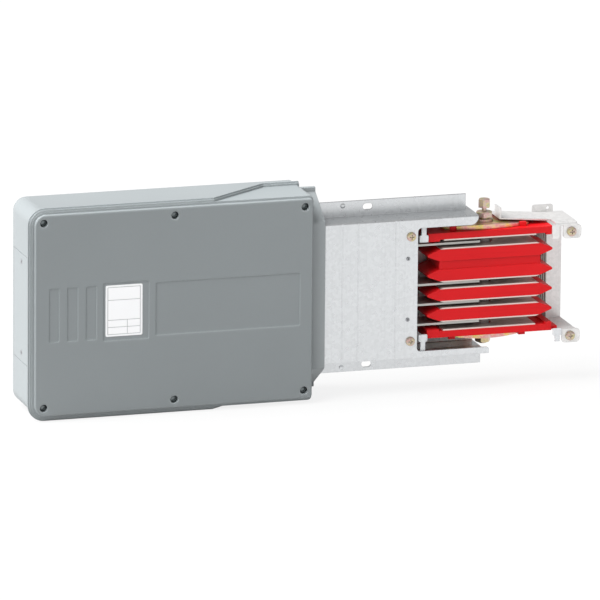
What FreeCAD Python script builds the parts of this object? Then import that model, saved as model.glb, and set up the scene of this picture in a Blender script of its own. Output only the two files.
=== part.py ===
import FreeCAD, Part
import math
import os

os.makedirs("parts", exist_ok=True)
V = FreeCAD.Vector

# Frame: X along the busway, out of the joint end. Y away from the cover. Z up.
# The origin is on the joint bolt, at the middle of the trunking. Lengths are in millimetres.

# Clearances
body_gap = 0.3
run_gap = 0.05
pocket_gap = 0.4
over = 1.0

# Trunking casing, two bent half-shells
trunk_half_h = 97.5
trunk_half_d = 37.5
sheet = 1.5
bend_r = 1.0
flange_h = 21.5
arm_top_end = -20.0
arm_bottom_end = -3.0
flange_top_end = -27.0
flange_bottom_end = -3.5
arm_top_r = 11.0
arm_bottom_r = 4.0
window_side = 17.0
window_sill = 9.5
window_head = 13.5
window_r = 5.0
hanger_back = 60.5
hanger_up = 12.5
hanger_w = 9.0
hanger_l = 14.0
bead_r = 1.2
bead_sink = 0.45
bead_back = [31.4, 84.6, 107.0]
lance_back = 96.0
lance_up = 15.5
lance_r = 3.4
lance_h = 1.1

# Joint pack
ins_half_h = 8.0
ins_side = 8.5
ins_tip = 89.0
ins_nose = 17.0
ins_blunt = 1.4
ins_edge_r = 1.2
contact_t = 2.0
contact_side = 1.0
contact_short = 6.0
contact_hole_r = 11.0
contact_lip = 7.0
end_ins_h = 11.5
leg_h = 2.5
leg_left = 17.0
leg_right = 9.0
foot_l = 6.0
foot_t = 4.0
foot_lap = 4.0
foot_side = 3.0
spring_half_l = 62.0
spring_mid_d = 24.0
spring_end_d = 9.0
spring_t = 2.5
spring_rise = 4.0
spring_rim_t = 2.0
spring_corner_r = 6.0
hook_x = 50.0
hook_w = 9.0
hook_wall = 2.6
hook_reach = 3.0
hook_lip = 1.3
hook_play = 0.25
tube_r = 8.5
tube_wall = 2.1
tube_reach = 5.0
collar_h = 4.0
collar_w = 1.5

# Joint bolt
bolt_r = 6.0
bolt_tail = 2.0
nut_h = 10.0
floor_gap = 4.5
washer_t = 3.5
washer_r = 12.0
hex_af = 19.0
hex_h = 10.0
shear_af = 13.0
shear_h = 15.0
shear_neck_h = 3.0
shear_neck_r = 4.5

# Busbars and their terminals
bar_t = 3.0
bar_edge = 9.0
bar_joint_end = -12.0
bar_end_gap = 91.0
bar_stagger = 35.0
bar_corner_r = 3.0
terminal_inset = 20.0
term_r = 5.0
term_af = 17.0
term_head_h = 6.4
term_nut_h = 8.0
term_tail = 2.0
term_washer_r = 10.0
term_washer_t = 2.0

# Combs that hold the bars
comb_l = 28.0
comb_back = 6.0
comb_box_l = 20.0
comb_box_back = 13.0
comb_box_front = 26.0
comb_edge = 16.4
comb_groove = 4.0

# Fixings of the front half-shell
shell_screw_back = 9.6
shell_screw_drop = 24.5
shell_screw_r = 3.0
shell_screw_l = 16.0
shell_head_r = 6.4
shell_head_h = 3.4
shell_rivet_back = 13.7
shell_rivet_z = 42.5
shell_rivet_r = 2.0
shell_rivet_l = 8.0
shell_rivet_head_r = 2.8
shell_rivet_head_h = 1.2
shell_rivet_bore = 1.0

# Joint bracket
br_t = 2.0
br_bend_r = 1.2
br_lap = 2.0
br_head = 19.5
br_foot = 23.5
br_side = 5.5
br_full_gap = 3.0
br_full_l = 31.0
br_strip_left = 19.0
br_strip_front = -11.0
br_stop_h = 14.0
br_stop_w = 24.0
br_tab_left = 80.0
br_tab_l = 30.0
br_tab_h = 10.0
br_tab_r = 3.0
br_tab_hole_r = 2.2
br_lip_h = 5.0
br_ear = 4.5
lug_back = 11.0
lug_l = 26.0
lug_drop = 21.0
lug_r = 5.0
lug_lift = 9.5
lug_x_in = 12.0
lug_screw_r = 3.0
lug_head_r = 6.6
lug_head_h = 3.8
lug_ring_w = 1.6
lug_ring_t = 1.2
lug_tail = 16.0
cross_half = 3.3
cross_w = 1.4
cross_depth = 1.6
rivet_xs = [-85.0, -40.0]
rivet_z = 55.0
rivet_r = 2.4
rivet_head_r = 4.2
rivet_head_h = 1.6
rivet_tail_r = 3.8
rivet_tail_h = 1.2

# White retaining clips
clip_t = 2.5
clip_half_w = 6.3
clip_stem_half_w = 3.4
clip_head_h = 9.5
clip_shell_in = 9.5
clip_top_l = 33.0
clip_bottom_l = 30.0
clip_bracket_in = 4.0
clip_bracket_l = 18.0
clip_bracket_up = 4.0
clip_r = 1.2

# Box
box_right = -259.0
box_length = 392.0
box_half_h = 142.0
box_half_d = 52.0
box_wall = 3.5
box_r_left = 18.0
box_r_right = 5.0
rear_r = 6.0
rear_in_r = 2.5
part_front_in = 10.0
part_rear_in = 32.0
slope_left_in = 254.0
slope_right_in = 51.0
gasket_t = 1.6
gasket_in = 0.9
gasket_w = 2.2
trunk_seat = 9.0

# Cover
face_inset = 3.0
face_t = 5.0
face_edge = 1.4
rim_out = [4.6, 2.6]
rim_depth = [2.6, 5.4]
rim_corner_r = 1.0
panel_cut = 0.8
panel_r = 2.0
panel_left = [23.0, 48.0, 74.0, 98.0, 171.5]
panel_w = [14.0, 15.0, 15.0, 64.0, 202.5]
panel_half_h = [37.0, 37.0, 37.0, 40.0, 36.5]
rib_t = 2.2
rib_h = 4.0
rib_count = 5
rib_z_share = 0.45

# Neck of the base, round the end of the trunking
neck_l = 21.0
neck_over_d = 2.5
neck_over_h = 4.5
neck_mid_in = 9.0
neck_rim_in = 2.5
neck_rim_y = 8.0
neck_rim_w = 7.0
neck_rim_r = 1.5
neck_rear_over_h = 10.5
neck_root_gap = 0.6
neck_hole_in_h = 17.5
neck_hole_in_front = 7.5
neck_hole_in_rear = 4.5

# Cover screws and pillars
screw_left_in = 15.5
screw_mid_in = 198.0
screw_right_in = 11.5
screw_edge = 14.5
pillar_r = 7.0
pillar_web = 3.0
pillar_bore = 20.0
boss_r = 7.5
boss_l = 15.7
cover_screw_r = 3.0
cover_screw_l = 26.0
cover_head_r = 4.9
cover_head_h = 5.0
cover_head_sink = 4.0
socket_af = 5.0
socket_depth = 2.5

# Gland plate in the left end wall
gland_y = 5.0
gland_half_w = 38.0
gland_over = 67.0
gland_t = 2.2
gland_seal = 0.8
gland_back = 5.0
gland_rim = 6.0
gland_open_side = 8.0
gland_open_end = 25.0
gland_screw_in = 12.0
gland_screw_r = 2.0
gland_screw_l = 8.0
gland_head_r = 3.8

# Earth terminal on the floor of the box
earth_up = 38.0
earth_half_l = 26.0
earth_half_w = 14.0
earth_t = 3.0
earth_r = 4.0
earth_l = 30.0
earth_af = 13.0
earth_nut_h = 6.5
earth_corner_r = 4.0

# Sizes that follow from those above
flange_top = trunk_half_h + flange_h
box_left = box_right - box_length
box_front = -box_half_d
box_rear = box_half_d
box_floor = box_rear - box_wall
trunk_left = box_right + trunk_seat
window_left = -ins_tip - window_side
window_low = window_sill - trunk_half_h
window_high = trunk_half_h - window_head
hanger_x = window_left - hanger_back
hanger_z = trunk_half_h + hanger_up
inner_d = trunk_half_d - sheet
inner_h = trunk_half_h - sheet
ins_half_d = trunk_half_d - ins_side
ins_body = ins_tip - ins_nose
bar_half_w = ins_half_d - bar_edge

# The pack is stacked inwards from the bolt's tail over the trunking floor: nut, spring plate, end insulator.
# What is left between the end insulators is shared out in equal steps of one bar and one insulator.
tail_end = inner_h - floor_gap
seat = tail_end - bolt_tail - nut_h
end_back = seat - spring_rise - spring_t
leg_face = end_back - end_ins_h
end_face = leg_face + leg_h
pitch = (leg_face + ins_half_h) / 2.5
bar_levels = [2.0 * pitch, 0.0, -pitch, -2.0 * pitch]
ins_levels = {"a": 1.5 * pitch, "b": 0.5 * pitch, "c": -0.5 * pitch, "d": -1.5 * pitch}
hole_r = tube_r + run_gap

# Ribs of the box, and a length that reaches past everything, for cuts
rib_xs = [box_left + (i + 1) * box_length / (rib_count + 1) for i in range(rib_count)]
rib_half_z = rib_z_share * box_half_h
far = box_length + box_half_h


def block(x0, x1, y0, y1, z0, z1):
    return Part.makeBox(x1 - x0, y1 - y0, z1 - z0, V(x0, y0, z0))


def rod_y(x, z, y0, y1, r):
    return Part.makeCylinder(r, y1 - y0, V(x, y0, z), V(0, 1, 0))


def rod_z(x, y, z0, z1, r):
    return Part.makeCylinder(r, z1 - z0, V(x, y, z0), V(0, 0, 1))


# A closed outline with an arc of its own radius at each corner
def outline(points, radii):
    count = len(points)
    starts = []
    ends = []
    mids = []
    for i in range(count):
        here = points[i]
        back = points[i - 1] - here
        ahead = points[(i + 1) % count] - here
        r = radii[i]
        if r <= 0:
            starts.append(here)
            ends.append(here)
            mids.append(None)
            continue
        half = 0.5 * back.getAngle(ahead)
        reach = r / math.tan(half)
        back.normalize()
        ahead.normalize()
        starts.append(here + back * reach)
        ends.append(here + ahead * reach)
        middle = back + ahead
        middle.normalize()
        mids.append(here + middle * (r / math.sin(half) - r))
    edges = []
    for i in range(count):
        if mids[i] is not None:
            edges.append(Part.Arc(starts[i], mids[i], ends[i]).toShape())
        nxt = starts[(i + 1) % count]
        if ends[i].distanceToPoint(nxt) > 1e-6:
            edges.append(Part.makeLine(ends[i], nxt))
    return Part.Wire(edges)


def pad(points, radii, along):
    if not isinstance(radii, list):
        radii = [radii] * len(points)
    return Part.Face(outline(points, radii)).extrude(along)


def pad_x(pairs, x0, x1, radii=0.0):
    return pad([V(x0, y, z) for y, z in pairs], radii, V(x1 - x0, 0, 0))


def pad_y(pairs, y0, y1, radii=0.0):
    return pad([V(x, y0, z) for x, z in pairs], radii, V(0, y1 - y0, 0))


def pad_z(pairs, z0, z1, radii=0.0):
    return pad([V(x, y, z0) for x, y in pairs], radii, V(0, 0, z1 - z0))


# A rounded rectangle in the XZ plane, with one radius on the left and one on the right
def rounded(x0, x1, z0, z1, y0, y1, r_left, r_right):
    pairs = [(x0, z0), (x1, z0), (x1, z1), (x0, z1)]
    return pad_y(pairs, y0, y1, [r_left, r_right, r_right, r_left])


def slot_y(x, z, y0, y1, width, length):
    half_l = 0.5 * length
    half_w = 0.5 * width
    return rounded(x - half_l, x + half_l, z - half_w, z + half_w, y0, y1, half_w - 0.001, half_w - 0.001)


# A turned piece from pairs of radius and height, on a base point and along an axis
def turned(pairs, base, axis):
    wire = Part.makePolygon([V(r, 0, h) for r, h in pairs + [pairs[0]]])
    shape = Part.Face(wire).revolve(V(0, 0, 0), V(0, 0, 1), 360)
    shape.Placement = FreeCAD.Placement(base, FreeCAD.Rotation(V(0, 0, 1), axis))
    return shape


def hex_prism(af, height, base, axis, turn=0.0):
    r = af / math.sqrt(3.0)
    points = []
    for i in range(6):
        a = math.radians(60.0 * i + turn)
        points.append(V(r * math.cos(a), r * math.sin(a), 0))
    shape = pad(points, 0.0, V(0, 0, height))
    shape.Placement = FreeCAD.Placement(base, FreeCAD.Rotation(V(0, 0, 1), axis))
    return shape


# A hexagon with the turned chamfer of a nut or a bolt head at its upper end
def hex_head(af, height, base, axis, turn=0.0):
    r = af / math.sqrt(3.0)
    flat = 0.5 * af
    drop = (r - flat) * math.tan(math.radians(30.0)) * 1.6
    cone = turned([(0, 0), (r, 0), (r, height - drop), (flat, height), (0, height)], base, axis)
    return hex_prism(af, height, base, axis, turn).common(cone)


# A pan head with a turned edge, standing on its base point
def pan_head(r, height, base, axis):
    pairs = [(0, 0), (r, 0), (r, 0.45 * height), (0.93 * r, 0.72 * height),
             (0.76 * r, 0.92 * height), (0.5 * r, height), (0, height)]
    return turned(pairs, base, axis)


def cross_cut_y(x, z, y, depth):
    flat = block(x - cross_half, x + cross_half, y - over, y + depth, z - 0.5 * cross_w, z + 0.5 * cross_w)
    tall = block(x - 0.5 * cross_w, x + 0.5 * cross_w, y - over, y + depth, z - cross_half, z + cross_half)
    return flat.fuse(tall)


# The waste that rounds one corner of a plate, sx and sz pointing from the corner into the plate
def corner_waste(x, z, sx, sz, r, y0, y1):
    x0 = min(x - sx * over, x + sx * r)
    x1 = max(x - sx * over, x + sx * r)
    z0 = min(z - sz * over, z + sz * r)
    z1 = max(z - sz * over, z + sz * r)
    return block(x0, x1, y0, y1, z0, z1).cut(rod_y(x + sx * r, z + sz * r, y0 - over, y1 + over, r))


def one(shapes):
    if len(shapes) == 1:
        return shapes[0]
    return shapes[0].multiFuse(shapes[1:]).removeSplitter()


def save(name, shape):
    shape.exportStep("parts/" + name + ".step")


# Trunking half-shells, each bent from one sheet
def half_shell(side):
    def mirrored(pairs):
        return [(side * y, z) for y, z in pairs]

    def span(x0, x1, y0, y1, z0, z1):
        near = min(side * y0, side * y1)
        return block(x0, x1, near, near + y1 - y0, z0, z1)

    section = [(0, flange_top), (sheet, flange_top), (sheet, trunk_half_h), (trunk_half_d, trunk_half_h),
               (trunk_half_d, -trunk_half_h), (sheet, -trunk_half_h), (sheet, -flange_top), (0, -flange_top),
               (0, -inner_h), (inner_d, -inner_h), (inner_d, inner_h), (0, inner_h)]
    out_r = bend_r + sheet
    radii = [0, 0, bend_r, out_r, out_r, bend_r, 0, 0, out_r, bend_r, bend_r, out_r]
    shell = pad_x(mirrored(section), trunk_left, arm_bottom_end, radii)
    waste = [
        span(arm_top_end, arm_bottom_end + over, -over, trunk_half_d + over, 0, flange_top + over),
        span(flange_top_end, arm_top_end + over, -over, out_r, trunk_half_h, flange_top + over),
        span(flange_bottom_end, arm_bottom_end + over, -over, out_r, -flange_top - over, -trunk_half_h),
    ]
    for level in (hanger_z, -hanger_z):
        waste.append(slot_y(hanger_x, level, -2.0 * sheet, 2.0 * sheet, hanger_w, hanger_l))
    if side < 0:
        y0 = -trunk_half_d - over
        y1 = -inner_d + bend_r
        window_right = arm_bottom_end + 2.0 * over
        waste.append(rounded(window_left, window_right, window_low, window_high, y0, y1, window_r, 0))
        waste.append(corner_waste(arm_top_end, window_high, -1, 1, arm_top_r, y0, y1))
        waste.append(corner_waste(arm_bottom_end, window_low, -1, -1, arm_bottom_r, y0, y1))
        for back in bead_back:
            bead_y = -trunk_half_d - bead_r + bead_sink
            waste.append(rod_z(window_left - back, bead_y, -trunk_half_h, trunk_half_h, bead_r))
    for piece in waste:
        shell = shell.cut(piece)
    return shell


shell_front = half_shell(-1)
shell_rear = half_shell(1)

# Pressed lances that lock the two flanges together
for sign in (1, -1):
    spot = V(window_left - lance_back, -sheet, sign * (trunk_half_h + lance_up))
    dome = turned([(0, -0.5 * sheet), (lance_r, -0.5 * sheet), (lance_r, 0), (0.75 * lance_r, 0.7 * lance_h),
                   (0.4 * lance_r, lance_h), (0, lance_h)], spot, V(0, -1, 0))
    shell_front = shell_front.fuse(dome).removeSplitter()

# Screws and rivets of the front half-shell
shell_screw_x = window_left - shell_screw_back
shell_screw_z = trunk_half_h - shell_screw_drop
shell_rivet_x = window_left - shell_rivet_back
panel_y = -trunk_half_d
shell_screws = []
shell_rivets = []
shell_holes = []
for sign in (1, -1):
    z = sign * shell_screw_z
    head = pan_head(shell_head_r, shell_head_h, V(shell_screw_x, panel_y, z), V(0, -1, 0))
    shank = rod_y(shell_screw_x, z, panel_y - 0.5 * shell_head_h, panel_y + shell_screw_l, shell_screw_r)
    screw = one([head, shank]).cut(cross_cut_y(shell_screw_x, z, panel_y - shell_head_h, cross_depth))
    shell_screws.append(screw)
    shell_holes.append(rod_y(shell_screw_x, z, panel_y - over, panel_y + shell_screw_l, shell_screw_r))
    z = sign * shell_rivet_z
    head = pan_head(shell_rivet_head_r, shell_rivet_head_h, V(shell_rivet_x, panel_y, z), V(0, -1, 0))
    shank_start = panel_y - 0.5 * shell_rivet_head_h
    shank = rod_y(shell_rivet_x, z, shank_start, panel_y + shell_rivet_l, shell_rivet_r)
    bore = rod_y(shell_rivet_x, z, panel_y - 2.0 * shell_rivet_head_h, panel_y + sheet, shell_rivet_bore)
    shell_rivets.append(one([head, shank]).cut(bore))
    shell_holes.append(rod_y(shell_rivet_x, z, panel_y - over, panel_y + shell_rivet_l, shell_rivet_r))
for hole in shell_holes:
    shell_front = shell_front.cut(hole)

# Busbars, each with a terminal in the box
bars = []
term_bolts = []
term_nuts = []
term_washers = []
for i, level in enumerate(bar_levels):
    end = box_left + bar_end_gap + i * bar_stagger
    low = level - 0.5 * bar_t
    high = level + 0.5 * bar_t
    pairs = [(end, -bar_half_w), (bar_joint_end, -bar_half_w), (bar_joint_end, bar_half_w), (end, bar_half_w)]
    x = end + terminal_inset
    hole = rod_z(x, 0, low - far, high + far, term_r)
    bars.append(pad_z(pairs, low, high, [bar_corner_r, 0, 0, bar_corner_r]).cut(hole))
    under = low - term_washer_t
    upper = high + term_washer_t
    term_washers.append(rod_z(x, 0, under, low, term_washer_r).cut(hole))
    term_washers.append(rod_z(x, 0, high, upper, term_washer_r).cut(hole))
    head = hex_head(term_af, term_head_h, V(x, 0, under), V(0, 0, -1))
    shank = rod_z(x, 0, under - 0.5 * term_head_h, upper + term_nut_h + term_tail, term_r)
    term_bolts.append(one([head, shank]))
    term_nuts.append(hex_head(term_af, term_nut_h, V(x, 0, upper), V(0, 0, 1)).cut(hole))


# A comb: a moulded block with a slot for each bar and a lightening groove down its two ends
def comb(x0, x1, y0, y1, half_h, corner_r):
    section = [(y0, -half_h), (y1, -half_h), (y1, half_h), (y0, half_h)]
    shape = pad_x(section, x0, x1, corner_r)
    for level in bar_levels:
        shape = shape.cut(block(x0 - over, x1 + over, -bar_half_w, bar_half_w,
                                level - 0.5 * bar_t, level + 0.5 * bar_t))
    mid = 0.5 * (x0 + x1)
    for y in (y0, y1):
        shape = shape.cut(rod_z(mid, y, -half_h - over, half_h + over, comb_groove))
    return shape


comb_right = window_left - comb_back
comb_joint = comb(comb_right - comb_l, comb_right, -inner_d, inner_d, inner_h, bend_r)
for hole in shell_holes:
    comb_joint = comb_joint.cut(hole)
comb_box_right = box_right - comb_box_back
comb_box = comb(comb_box_right - comb_box_l, comb_box_right, -comb_box_front, box_floor,
                2.0 * pitch + comb_edge, 0.0)

# Earth terminal, between two ribs of the floor
earth_x = 0.5 * (rib_xs[2] + rib_xs[3])
earth_z = earth_up - box_half_h
earth_hole = rod_y(earth_x, earth_z, -far, far, earth_r)
earth_plate = rounded(earth_x - earth_half_l, earth_x + earth_half_l, earth_z - earth_half_w,
                      earth_z + earth_half_w, box_floor - earth_t, box_floor, earth_corner_r, earth_corner_r)
earth_plate = earth_plate.cut(earth_hole)
earth_stud = rod_y(earth_x, earth_z, box_floor - earth_l, box_floor, earth_r)
earth_nut = hex_head(earth_af, earth_nut_h, V(earth_x, box_floor - earth_t, earth_z), V(0, -1, 0))
earth_nut = earth_nut.cut(earth_hole)

# Insulators of the joint pack, six-sided bars with noses that lead the bars in
through = rod_z(0, 0, -far, far, hole_r)


def insulator(level):
    pairs = [(-ins_tip, level + ins_blunt), (-ins_body, level + ins_half_h),
             (ins_body, level + ins_half_h), (ins_tip, level + ins_blunt),
             (ins_tip, level - ins_blunt), (ins_body, level - ins_half_h),
             (-ins_body, level - ins_half_h), (-ins_tip, level - ins_blunt)]
    radii = [ins_edge_r, 0, 0, ins_edge_r, ins_edge_r, 0, 0, ins_edge_r]
    return pad_y(pairs, -ins_half_d, ins_half_d, radii).cut(through)


# A contact plate lies on a face of an insulator, with its ends bent along the noses
nose_drop = (ins_half_h - ins_blunt) / ins_nose
contact_half_d = ins_half_d - contact_side
contact_hole = rod_z(0, 0, -far, far, contact_hole_r)


def contact(face, side):
    out = ins_body + contact_lip
    drop = side * contact_lip * nose_drop
    rise = side * contact_t
    pairs = [(-out, face - drop), (-ins_body, face), (ins_body, face), (out, face - drop),
             (out, face - drop + rise), (ins_body, face + rise),
             (-ins_body, face + rise), (-out, face - drop + rise)]
    return pad_y(pairs, -contact_half_d, contact_half_d).cut(contact_hole)


def flat_contact(side):
    half_l = ins_body - contact_short
    low = min(side * end_face, side * (end_face - contact_t))
    return block(-half_l, half_l, -contact_half_d, contact_half_d, low, low + contact_t).cut(contact_hole)


insulators = {key: insulator(level) for key, level in ins_levels.items()}
filler = block(-ins_body, ins_body, -contact_half_d, contact_half_d,
               ins_levels["b"] + ins_half_h, ins_levels["a"] - ins_half_h).cut(through)
contacts = {
    "contact_a_upper": contact(ins_levels["a"] + ins_half_h, 1),
    "contact_b_lower": contact(ins_levels["b"] - ins_half_h, -1),
    "contact_c_upper": contact(ins_levels["c"] + ins_half_h, 1),
    "contact_c_lower": contact(ins_levels["c"] - ins_half_h, -1),
    "contact_d_upper": contact(ins_levels["d"] + ins_half_h, 1),
    "contact_d_lower": contact(ins_levels["d"] - ins_half_h, -1),
    "contact_top": flat_contact(1),
    "contact_bottom": flat_contact(-1),
}


# Half the depth of a spring plate at a place along it
def spring_depth(x):
    swell = spring_mid_d - spring_end_d
    r = 0.5 * (spring_half_l ** 2 + swell ** 2) / swell
    return spring_mid_d - r + math.sqrt(r * r - x * x)


def spring_top_at(x):
    r = 0.5 * (spring_half_l ** 2 + spring_rise ** 2) / spring_rise
    return end_back + spring_t + spring_rise - r + math.sqrt(r * r - x * x)


# An end insulator: a block with a leg at each end, and hooks over the edges of its spring plate
def end_insulator(side):
    pairs = [(-ins_tip, leg_face), (leg_left - ins_tip, leg_face), (leg_left - ins_tip, end_face),
             (ins_tip - leg_right, end_face), (ins_tip - leg_right, leg_face), (ins_tip, leg_face),
             (ins_tip, end_back), (-ins_tip, end_back)]
    shape = pad_y([(x, side * z) for x, z in pairs], -ins_half_d, ins_half_d)
    hooks = []
    for x in (-hook_x, hook_x):
        near = spring_depth(hook_x - 0.5 * hook_w) + hook_play
        lip_low = spring_top_at(hook_x - 0.5 * hook_w) + hook_play
        lip_high = lip_low + hook_lip
        far_side = near + hook_wall
        tip = near - hook_reach
        profile = [(far_side, end_back - over), (far_side, lip_high), (tip, lip_high),
                   (tip, lip_low), (near, lip_low), (near, end_back - over)]
        for hand in (1, -1):
            turned_profile = [(hand * y, side * z) for y, z in profile]
            hooks.append(pad_x(turned_profile, x - 0.5 * hook_w, x + 0.5 * hook_w))
    return one([shape] + hooks).cut(through)


end_top = end_insulator(1)
end_bottom = end_insulator(-1)


# The outline of a spring plate from above, a lens with rounded corners
def lens(inset, corner_r):
    end_d = spring_end_d - inset
    mid_d = spring_mid_d - inset

    def at(x, y):
        return V(x, y, -far)

    front = Part.Arc(at(-spring_half_l, -end_d), at(0, -mid_d), at(spring_half_l, -end_d)).toShape()
    rear = Part.Arc(at(spring_half_l, end_d), at(0, mid_d), at(-spring_half_l, end_d)).toShape()
    right = Part.makeLine(at(spring_half_l, -end_d), at(spring_half_l, end_d))
    left = Part.makeLine(at(-spring_half_l, end_d), at(-spring_half_l, -end_d))
    solid = Part.Face(Part.Wire([front, right, rear, left])).extrude(V(0, 0, 2.0 * far))
    if not corner_r:
        return solid
    upright = [e for e in solid.Edges if abs(e.tangentAt(e.FirstParameter).z) > 0.9]
    return solid.makeFillet(corner_r, upright)


# A spring plate: a bowed sheet whose long edges are turned in towards the insulator
def spring(side):
    def at(x, z):
        return V(x, -far, side * z)

    def beneath_bow(z, lower):
        top = end_back + spring_t
        upper = Part.Arc(at(spring_half_l, top), at(0, top + spring_rise), at(-spring_half_l, top)).toShape()
        left = Part.makeLine(at(-spring_half_l, top), at(-spring_half_l, z))
        right = Part.makeLine(at(spring_half_l, z), at(spring_half_l, top))
        return Part.Face(Part.Wire([upper, left, lower, right])).extrude(V(0, 2.0 * far, 0))

    plan = lens(0, spring_corner_r)
    bow = Part.Arc(at(-spring_half_l, end_back), at(0, end_back + spring_rise), at(spring_half_l, end_back))
    rim_low = end_back + body_gap
    flat = Part.makeLine(at(-spring_half_l, rim_low), at(spring_half_l, rim_low))
    bowed = beneath_bow(end_back, bow.toShape()).common(plan)
    edges = beneath_bow(rim_low, flat).common(plan).cut(lens(spring_rim_t, 0))
    return one([bowed, edges]).cut(rod_z(0, 0, -far, far, bolt_r + run_gap))


spring_top = spring(1)
spring_bottom = spring(-1)

# Joint bolt with a shear head, its washer, nut and insulating tube
bolt_hole = rod_z(0, 0, -far, far, bolt_r + run_gap)
washer = rod_z(0, 0, seat, seat + washer_t, washer_r).cut(bolt_hole)
head_low = seat + washer_t
head_high = head_low + hex_h
shear_low = head_high + shear_neck_h
bolt = one([
    rod_z(0, 0, -tail_end, head_low + over, bolt_r),
    hex_head(hex_af, hex_h, V(0, 0, head_low), V(0, 0, 1), 12.0),
    rod_z(0, 0, head_high - over, shear_low + over, shear_neck_r),
    hex_head(shear_af, shear_h, V(0, 0, shear_low), V(0, 0, 1), 24.0),
])
nut = hex_head(hex_af, nut_h, V(0, 0, -seat), V(0, 0, -1)).cut(bolt_hole)
tube = rod_z(0, 0, -end_back, end_face + tube_reach, tube_r).cut(rod_z(0, 0, -far, far, tube_r - tube_wall))
collar = rod_z(0, 0, -end_back, -end_back + collar_h, hole_r + collar_w)
end_bottom = one([end_bottom, collar]).cut(rod_z(0, 0, -far, far, tube_r))

# Joint bracket, bent from one sheet
web_y = inner_d
br_left = window_left + br_lap
br_full_left = ins_tip + br_full_gap
br_right = br_full_left + br_full_l
br_top = trunk_half_h - br_head
br_bottom = br_foot - trunk_half_h
br_front = br_side - trunk_half_d
lug_left = br_full_left + lug_back
lug_right = lug_left + lug_l
lug_x = lug_left + lug_x_in
lug_top_low = br_top - br_t - lug_drop
lug_bottom_low = br_bottom + 2.0 * br_t - lug_drop
lug_top_z = lug_top_low + lug_lift
lug_bottom_z = lug_bottom_low + lug_lift
foot_low = br_bottom + br_t
foot = block(ins_tip - foot_lap, br_full_left + foot_l, foot_side - ins_half_d, ins_half_d - foot_side,
             foot_low, foot_low + foot_t)
end_bottom = one([end_bottom, foot])


def lug(low, high):
    pairs = [(lug_left, low), (lug_right, low), (lug_right, high), (lug_left, high)]
    return pad_y(pairs, br_front, br_front + br_t, [lug_r, lug_r, lug_r, 0])


bend_out = br_bend_r + br_t
channel = [(br_front, br_top), (web_y, br_top), (web_y, br_bottom), (br_front, br_bottom),
           (br_front, br_bottom + br_t), (web_y - br_t, br_bottom + br_t), (web_y - br_t, br_top - br_t),
           (br_front + br_t, br_top - br_t), (br_front + br_t, br_top - br_lip_h),
           (br_front, br_top - br_lip_h)]
channel_r = [bend_out, bend_out, bend_out, 0, 0, br_bend_r, br_bend_r, br_bend_r, 0, 0]
hook_top = spring_top_at(hook_x - 0.5 * hook_w) + hook_play + hook_lip
strip_slope = (hook_top + pocket_gap - br_top + br_t) / (br_full_left - hook_x - 0.5 * hook_w)
strip_l = br_full_left + over - br_strip_left
strip_rise = strip_slope * strip_l
strip_start = br_top - strip_slope * over
strip_low = strip_start - 2.0 * bend_out
strip_end = strip_start + strip_rise
angle = [(br_strip_front, strip_start), (web_y, strip_start), (web_y, strip_low), (web_y - br_t, strip_low),
         (web_y - br_t, strip_start - br_t), (br_strip_front, strip_start - br_t)]
angle_r = [0, bend_out, 0, 0, br_bend_r, 0]
strip = pad([V(br_full_left + over, y, z) for y, z in angle], angle_r, V(-strip_l, 0, strip_rise))
web = pad_y([(br_left, br_bottom), (br_full_left + over, br_bottom), (br_full_left + over, strip_low + over),
             (br_strip_left, strip_end - 2.0 * bend_out + over), (br_strip_left, br_top), (br_left, br_top)],
            web_y - br_t, web_y)
stop = block(br_strip_left, br_strip_left + br_t, br_strip_front, br_strip_front + br_stop_w,
             strip_end - br_t, strip_end + br_stop_h)
tab = pad_y([(br_tab_left, br_top - bend_out), (br_tab_left + br_tab_l, br_top - bend_out),
             (br_tab_left + br_tab_l, br_top + br_tab_h), (br_tab_left, br_top + br_tab_h)],
            web_y - br_t, web_y, [0, 0, br_tab_r, br_tab_r])
tab = tab.cut(rod_y(br_tab_left + 0.75 * br_tab_l, br_top + 0.5 * br_tab_h, -far, far, br_tab_hole_r))
ear = block(br_full_left - br_ear, lug_left - br_lip_h, br_front, br_front + br_t,
            lug_top_low, br_top - bend_out)
bracket = one([
    web,
    strip,
    pad_x(channel, br_full_left, br_right, channel_r),
    stop,
    tab,
    ear,
    lug(lug_top_low, br_top - br_lip_h + over),
    lug(lug_bottom_low, br_bottom + br_t),
])
lug_screws = []
for z in (lug_top_z, lug_bottom_z):
    bracket = bracket.cut(rod_y(lug_x, z, br_front - over, br_front + br_t + over, lug_screw_r + run_gap))
    face = br_front - body_gap
    back = br_front + br_t
    screw = one([
        pan_head(lug_head_r, lug_head_h, V(lug_x, face, z), V(0, -1, 0)),
        rod_y(lug_x, z, face - 0.5 * lug_head_h, back + lug_tail, lug_screw_r),
        rod_y(lug_x, z, back + body_gap, back + body_gap + lug_ring_t, lug_screw_r + lug_ring_w),
    ])
    lug_screws.append(screw.cut(cross_cut_y(lug_x, z, face - lug_head_h, cross_depth)))

bracket_rivets = []
for x in rivet_xs:
    for z in (rivet_z, -rivet_z):
        hole = rod_y(x, z, web_y - br_t, trunk_half_d, rivet_r)
        head = pan_head(rivet_head_r, rivet_head_h, V(x, trunk_half_d, z), V(0, 1, 0))
        tail = rod_y(x, z, web_y - br_t - rivet_tail_h, web_y - br_t, rivet_tail_r)
        bracket_rivets.append(one([hole, head, tail]))
        bracket = bracket.cut(hole)
        shell_rear = shell_rear.cut(hole)


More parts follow.
